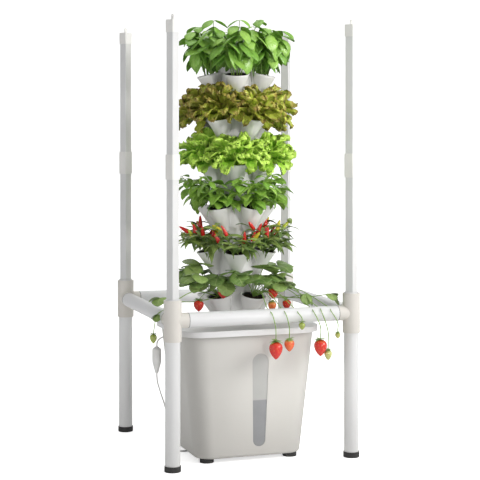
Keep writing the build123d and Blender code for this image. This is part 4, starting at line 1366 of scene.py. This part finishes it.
leaflet_blade = {"grid": (25, 9), "outline": obovate, "fold": 0.15, "curl": 0.16, "teeth": 8, "tooth": 0.13,
                 "pucker": 0.0014, "veins": 7}
sepal_blade = {"grid": (7, 5), "outline": lance, "fold": 0.2, "curl": 0.0}
berry_leaf = leaf_material("strawberry_leaf", (0.31, 0.44, 0.12), (0.085, 0.175, 0.035), (0.40, 0.50, 0.19),
                           (0.16, 0.27, 0.055), 0.85, 7.0, 0.45, 0.6, Roughness=0.45)
berry_stops = [
    (0.0, (0.27, 0.38, 0.07)),
    (0.25, (0.52, 0.55, 0.20)),
    (0.5, (0.76, 0.32, 0.08)),
    (0.72, (0.70, 0.040, 0.018)),
    (1.0, (0.54, 0.012, 0.014)),
]
berry_skin = ripening_skin("berry_skin", berry_stops, (0.62, 0.40, 0.08), Roughness=0.24,
                           Specular_IOR_Level=0.6)
print("berry skin with", len(berry_stops), "colours")

# %% Strawberry fruit
seed_rows = 9
sepal_count = 9


def grow_berry(fruits, leaves, stems, rng, top, length, radius, ripeness):
    """Heart-shaped fruit hanging from its top, with pressed-in seeds and a ring of sepals."""
    rows, columns = 34, 40
    t = np.linspace(0, 1, rows)[:, None]
    angle = np.linspace(0, 2 * math.pi, columns, endpoint=False)[None, :]
    profile = np.sin(math.pi * np.clip(t, 0.012, 0.988) ** 0.66) ** 0.64
    row = t * seed_rows
    in_row = np.round(row)
    per_row = np.maximum(np.round(11 * np.sin(math.pi * np.clip(in_row / seed_rows, 0.08, 0.95) ** 0.6)), 3)
    offset = np.mod(angle / (2 * math.pi) * per_row + 0.5 * np.mod(in_row, 2), 1) - 0.5
    gap = np.hypot(offset * 2 * math.pi * profile * radius / per_row, (row - in_row) / seed_rows * length)
    dimple = np.exp(-(gap / 0.0016) ** 2)
    seed = np.exp(-(gap / 0.0009) ** 4)
    reach = radius * profile * np.ones_like(angle) - 0.0006 * dimple + 0.0003 * seed
    down = t * length * np.ones_like(angle)
    grid = np.stack([reach * np.cos(angle), reach * np.sin(angle), -down], axis=-1) + top
    fruits.add(grid, np.stack(np.broadcast_arrays(seed, t, ripeness), axis=-1), wrap=True, caps=True)
    for k in range(sepal_count):
        heading = 2 * math.pi * k / sepal_count + rng.uniform(-0.2, 0.2)
        size = radius * rng.uniform(0.95, 1.2)
        grow_leaf(leaves, sepal_blade, rng, top + up_by(0.0005), heading, math.radians(rng.uniform(0, 30)),
                  size, radius * 0.27, math.radians(rng.uniform(10, 60)), 0, rng.uniform(0, 0.5))
    grow_tube(stems, [top + up_by(z) for z in (-0.001, 0.001, 0.004)], [0.0022, 0.0016, 0.0010])


print("a berry has", seed_rows, "rows of seeds and", sepal_count, "sepals")

# %% Strawberry plants
def grow_threefold(leaves, stems, rng, stalk, rises, heading, size, tone):
    """Three leaflets at the end of a stalk."""
    grow_tube(stems, stalk, np.linspace(0.0015, 0.0010, len(stalk)))
    for way in (-1.25, 0, 1.25):
        share = 1.0 if way == 0 else 0.88
        rise = rises[-1] * 0.3 + math.radians(rng.uniform(-35, 15))
        grow_leaf(leaves, leaflet_blade, rng, stalk[-1], heading + way + rng.uniform(-0.12, 0.12), rise,
                  size * share, size * share * 0.47, math.radians(rng.uniform(25, 70)),
                  rng.uniform(-0.3, 0.3), tone + rng.uniform(-0.15, 0.15))


berry_rng = np.random.default_rng(61)
berry_leaves = Growth()
berry_stems = Growth()
berry_fruits = Growth()
for spot, outward in plant_spots(6):
    for k in range(6):
        heading = outward + (k - 2.5) * 0.55 + berry_rng.uniform(-0.2, 0.2)
        rise = math.radians(berry_rng.uniform(45, 82))
        reach = berry_rng.uniform(0.055, 0.098)
        stalk, rises = bowed_path(spot, heading, rise, reach, math.radians(berry_rng.uniform(10, 50)), 10)
        size = berry_rng.uniform(0.046, 0.060)
        tone = berry_rng.uniform(0.1, 0.9)
        grow_threefold(berry_leaves, berry_stems, berry_rng, stalk, rises, heading, size, tone)
print("strawberry leaves", berry_leaves.count, "points")

# %% [markdown]
# The hanging fruits are placed one by one. Each has a thin stalk that leaves a pocket, lies over the front
# or left rail and hangs straight down, so its line passes smoothly through a few points. The fruits that
# lie on the lips and the leaves on runners are placed the same way.

# %% Smooth lines
def smooth_line(points, steps=24):
    """Smooth line through a few points."""
    points = np.array(points, float)
    ends = np.vstack([2 * points[0] - points[1], points, 2 * points[-1] - points[-2]])
    line = []
    for a, b, c, d in zip(ends, ends[1:], ends[2:], ends[3:]):
        for u in np.linspace(0, 1, steps // (len(points) - 1), endpoint=False):
            bend = (2 * a - 5 * b + 4 * c - d) * u**2 + (3 * b - a - 3 * c + d) * u**3
            line.append(0.5 * (2 * b + (c - a) * u + bend))
    line.append(points[-1])
    return np.array(line)


low_names = ("right", "far_right", "back_right", "back_left", "left")
spots_low = {name: spot[0] for name, spot in zip(low_names, plant_spots(6))}
print("spots of the lowest tier", list(spots_low))

# %% Fruits over the front rail
stalk_lift = 0.0015
fruit_drop = 0.003
rail_low, rail_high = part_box("rail_front")
rail_y = (rail_low.y + rail_high.y) / 2
rail_top = rail_high.z + stalk_lift
rail_face = rail_low.y - 0.005
halfway_x = 0.12
hanging_berries = [
    ((0.023, 0.3265), 0.046, 0.0180, 0.88),
    ((0.061, 0.3315), 0.032, 0.0135, 0.66),
    ((0.097, 0.3750), 0.020, 0.0090, 0.05),
    ((0.150, 0.3265), 0.044, 0.0175, 0.84),
    ((0.172, 0.2985), 0.028, 0.0105, 0.25),
    ((0.200, 0.3430), 0.016, 0.0075, 0.15),
]
for (x, top), length, radius, ripeness in hanging_berries:
    near = x < halfway_x
    start = spots_low["right" if near else "far_right"]
    over = x - (0.012 if near else 0.02)
    line = smooth_line([
        start,
        (start + np.array([over, rail_y, rail_top])) / 2 + up_by(0.030),
        (over, rail_y + 0.006, rail_top),
        (over + 0.004, rail_low.y - 0.003, rail_high.z - 0.012),
        (x, rail_face - 0.003, (rail_high.z + top) / 2 - 0.006),
        (x, rail_face - 0.004, top + fruit_drop),
    ], 40)
    grow_tube(berry_stems, line, 0.0012, 6)
    fruit_top = line[-1] - up_by(fruit_drop)
    grow_berry(berry_fruits, berry_leaves, berry_stems, berry_rng, fruit_top, length, radius, ripeness)
print(len(hanging_berries), "fruits over the front rail")

# %% Fruits on the lips and leaves on runners
lying_berries = [
    ((-0.086, -0.166, 0.462), 0.030, 0.0150, 0.90, "left"),
    ((-0.150, -0.150, 0.428), 0.030, 0.0140, 0.92, "left"),
    ((0.047, -0.196, 0.460), 0.030, 0.0140, 0.76, "right"),
    ((0.040, -0.206, 0.424), 0.026, 0.0115, 0.62, "right"),
    ((0.088, -0.190, 0.425), 0.026, 0.0120, 0.88, "right"),
]
for top, length, radius, ripeness, start in lying_berries:
    top = np.array(top)
    rising = (spots_low[start] + top) / 2 + up_by(0.022)
    line = smooth_line([spots_low[start], rising, top + up_by(0.002)])
    grow_tube(berry_stems, line, 0.0008, 6)
    grow_berry(berry_fruits, berry_leaves, berry_stems, berry_rng, top, length, radius, ripeness)
runner_leaves = [
    ((0.131, -0.215, 0.442), -0.3, 0.040, "far_right"),
    ((0.203, -0.222, 0.440), -0.4, 0.040, "far_right"),
    ((-0.262, -0.165, 0.440), 4.3, 0.038, "left"),
]
for end, heading, size, start in runner_leaves:
    end = np.array(end)
    line = smooth_line([spots_low[start], (spots_low[start] + end) / 2 + up_by(-0.012), end])
    grow_threefold(berry_leaves, berry_stems, berry_rng, line, np.zeros(1), heading, size, 0.4)
print(len(lying_berries), "lying fruits and", len(runner_leaves), "runners")

# %% Fruit over the left rail
left_low, left_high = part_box("rail_left")
left_over = np.array([(left_low.x + left_high.x) / 2, -0.180, left_high.z + stalk_lift])
left_side = np.array([left_low.x - 0.004, -0.184, left_high.z - 0.014])
left_stalk_end = np.array([left_low.x - 0.014, -0.186, 0.352])
left_fruit_top = left_stalk_end - up_by(fruit_drop)
left_bend = (spots_low["left"] + left_over) / 2 + up_by(0.030)
left_line = smooth_line([spots_low["left"], left_bend, left_over, left_side, left_stalk_end], 36)
grow_tube(berry_stems, left_line, 0.0012, 6)
grow_berry(berry_fruits, berry_leaves, berry_stems, berry_rng, left_fruit_top, 0.025, 0.0095, 0.08)
grow_threefold(berry_leaves, berry_stems, berry_rng, left_line[:27], np.full(1, -0.6), 4.4, 0.026, 0.4)
print("stalk over the left rail with", len(left_line), "points")

# %% Strawberry flower and pieces
grow_flower(flower_petals, flower_hearts, berry_rng, np.array([-0.148, -0.150, 0.480]), 5, 0.0115, 0.4)
flower_stalk = smooth_line([spots_low["left"], (-0.125, -0.145, 0.468), (-0.148, -0.150, 0.479)])
grow_tube(berry_stems, flower_stalk, 0.0009, 6)
leaf_piece("strawberry_leaves", berry_leaves, berry_leaf, "strawberry_leaf", 0.0005, "strawberry_plants")
tower_piece("strawberry_stems", berry_stems.mesh("strawberry_stems"), stem_green, "strawberry_leaf")
tower_piece("strawberry_fruits", berry_fruits.mesh("strawberry_fruits"), berry_skin, "strawberry_leaf")
heart_yellow = leaf_material("heart_yellow", (0.72, 0.48, 0.05), (0.62, 0.40, 0.04), (0.80, 0.60, 0.10),
                             (0.60, 0.40, 0.05), 0.8, 6.0, 0.3, 0.5, Roughness=0.7)
leaf_piece("flower_petals", flower_petals, petal_white, "chilli_leaf", 0.0003)
tower_piece("flower_hearts", flower_hearts.mesh("flower_hearts"), heart_yellow, "chilli_leaf")
print("fruits", berry_fruits.count, "points")

# %% [markdown]
# ## Size
# Leaves, fruits and the lead may reach a little past the construction model, but not far. The last step
# only brings the scene up to date.

# %% Bring the scene up to date
bpy.context.view_layer.update()
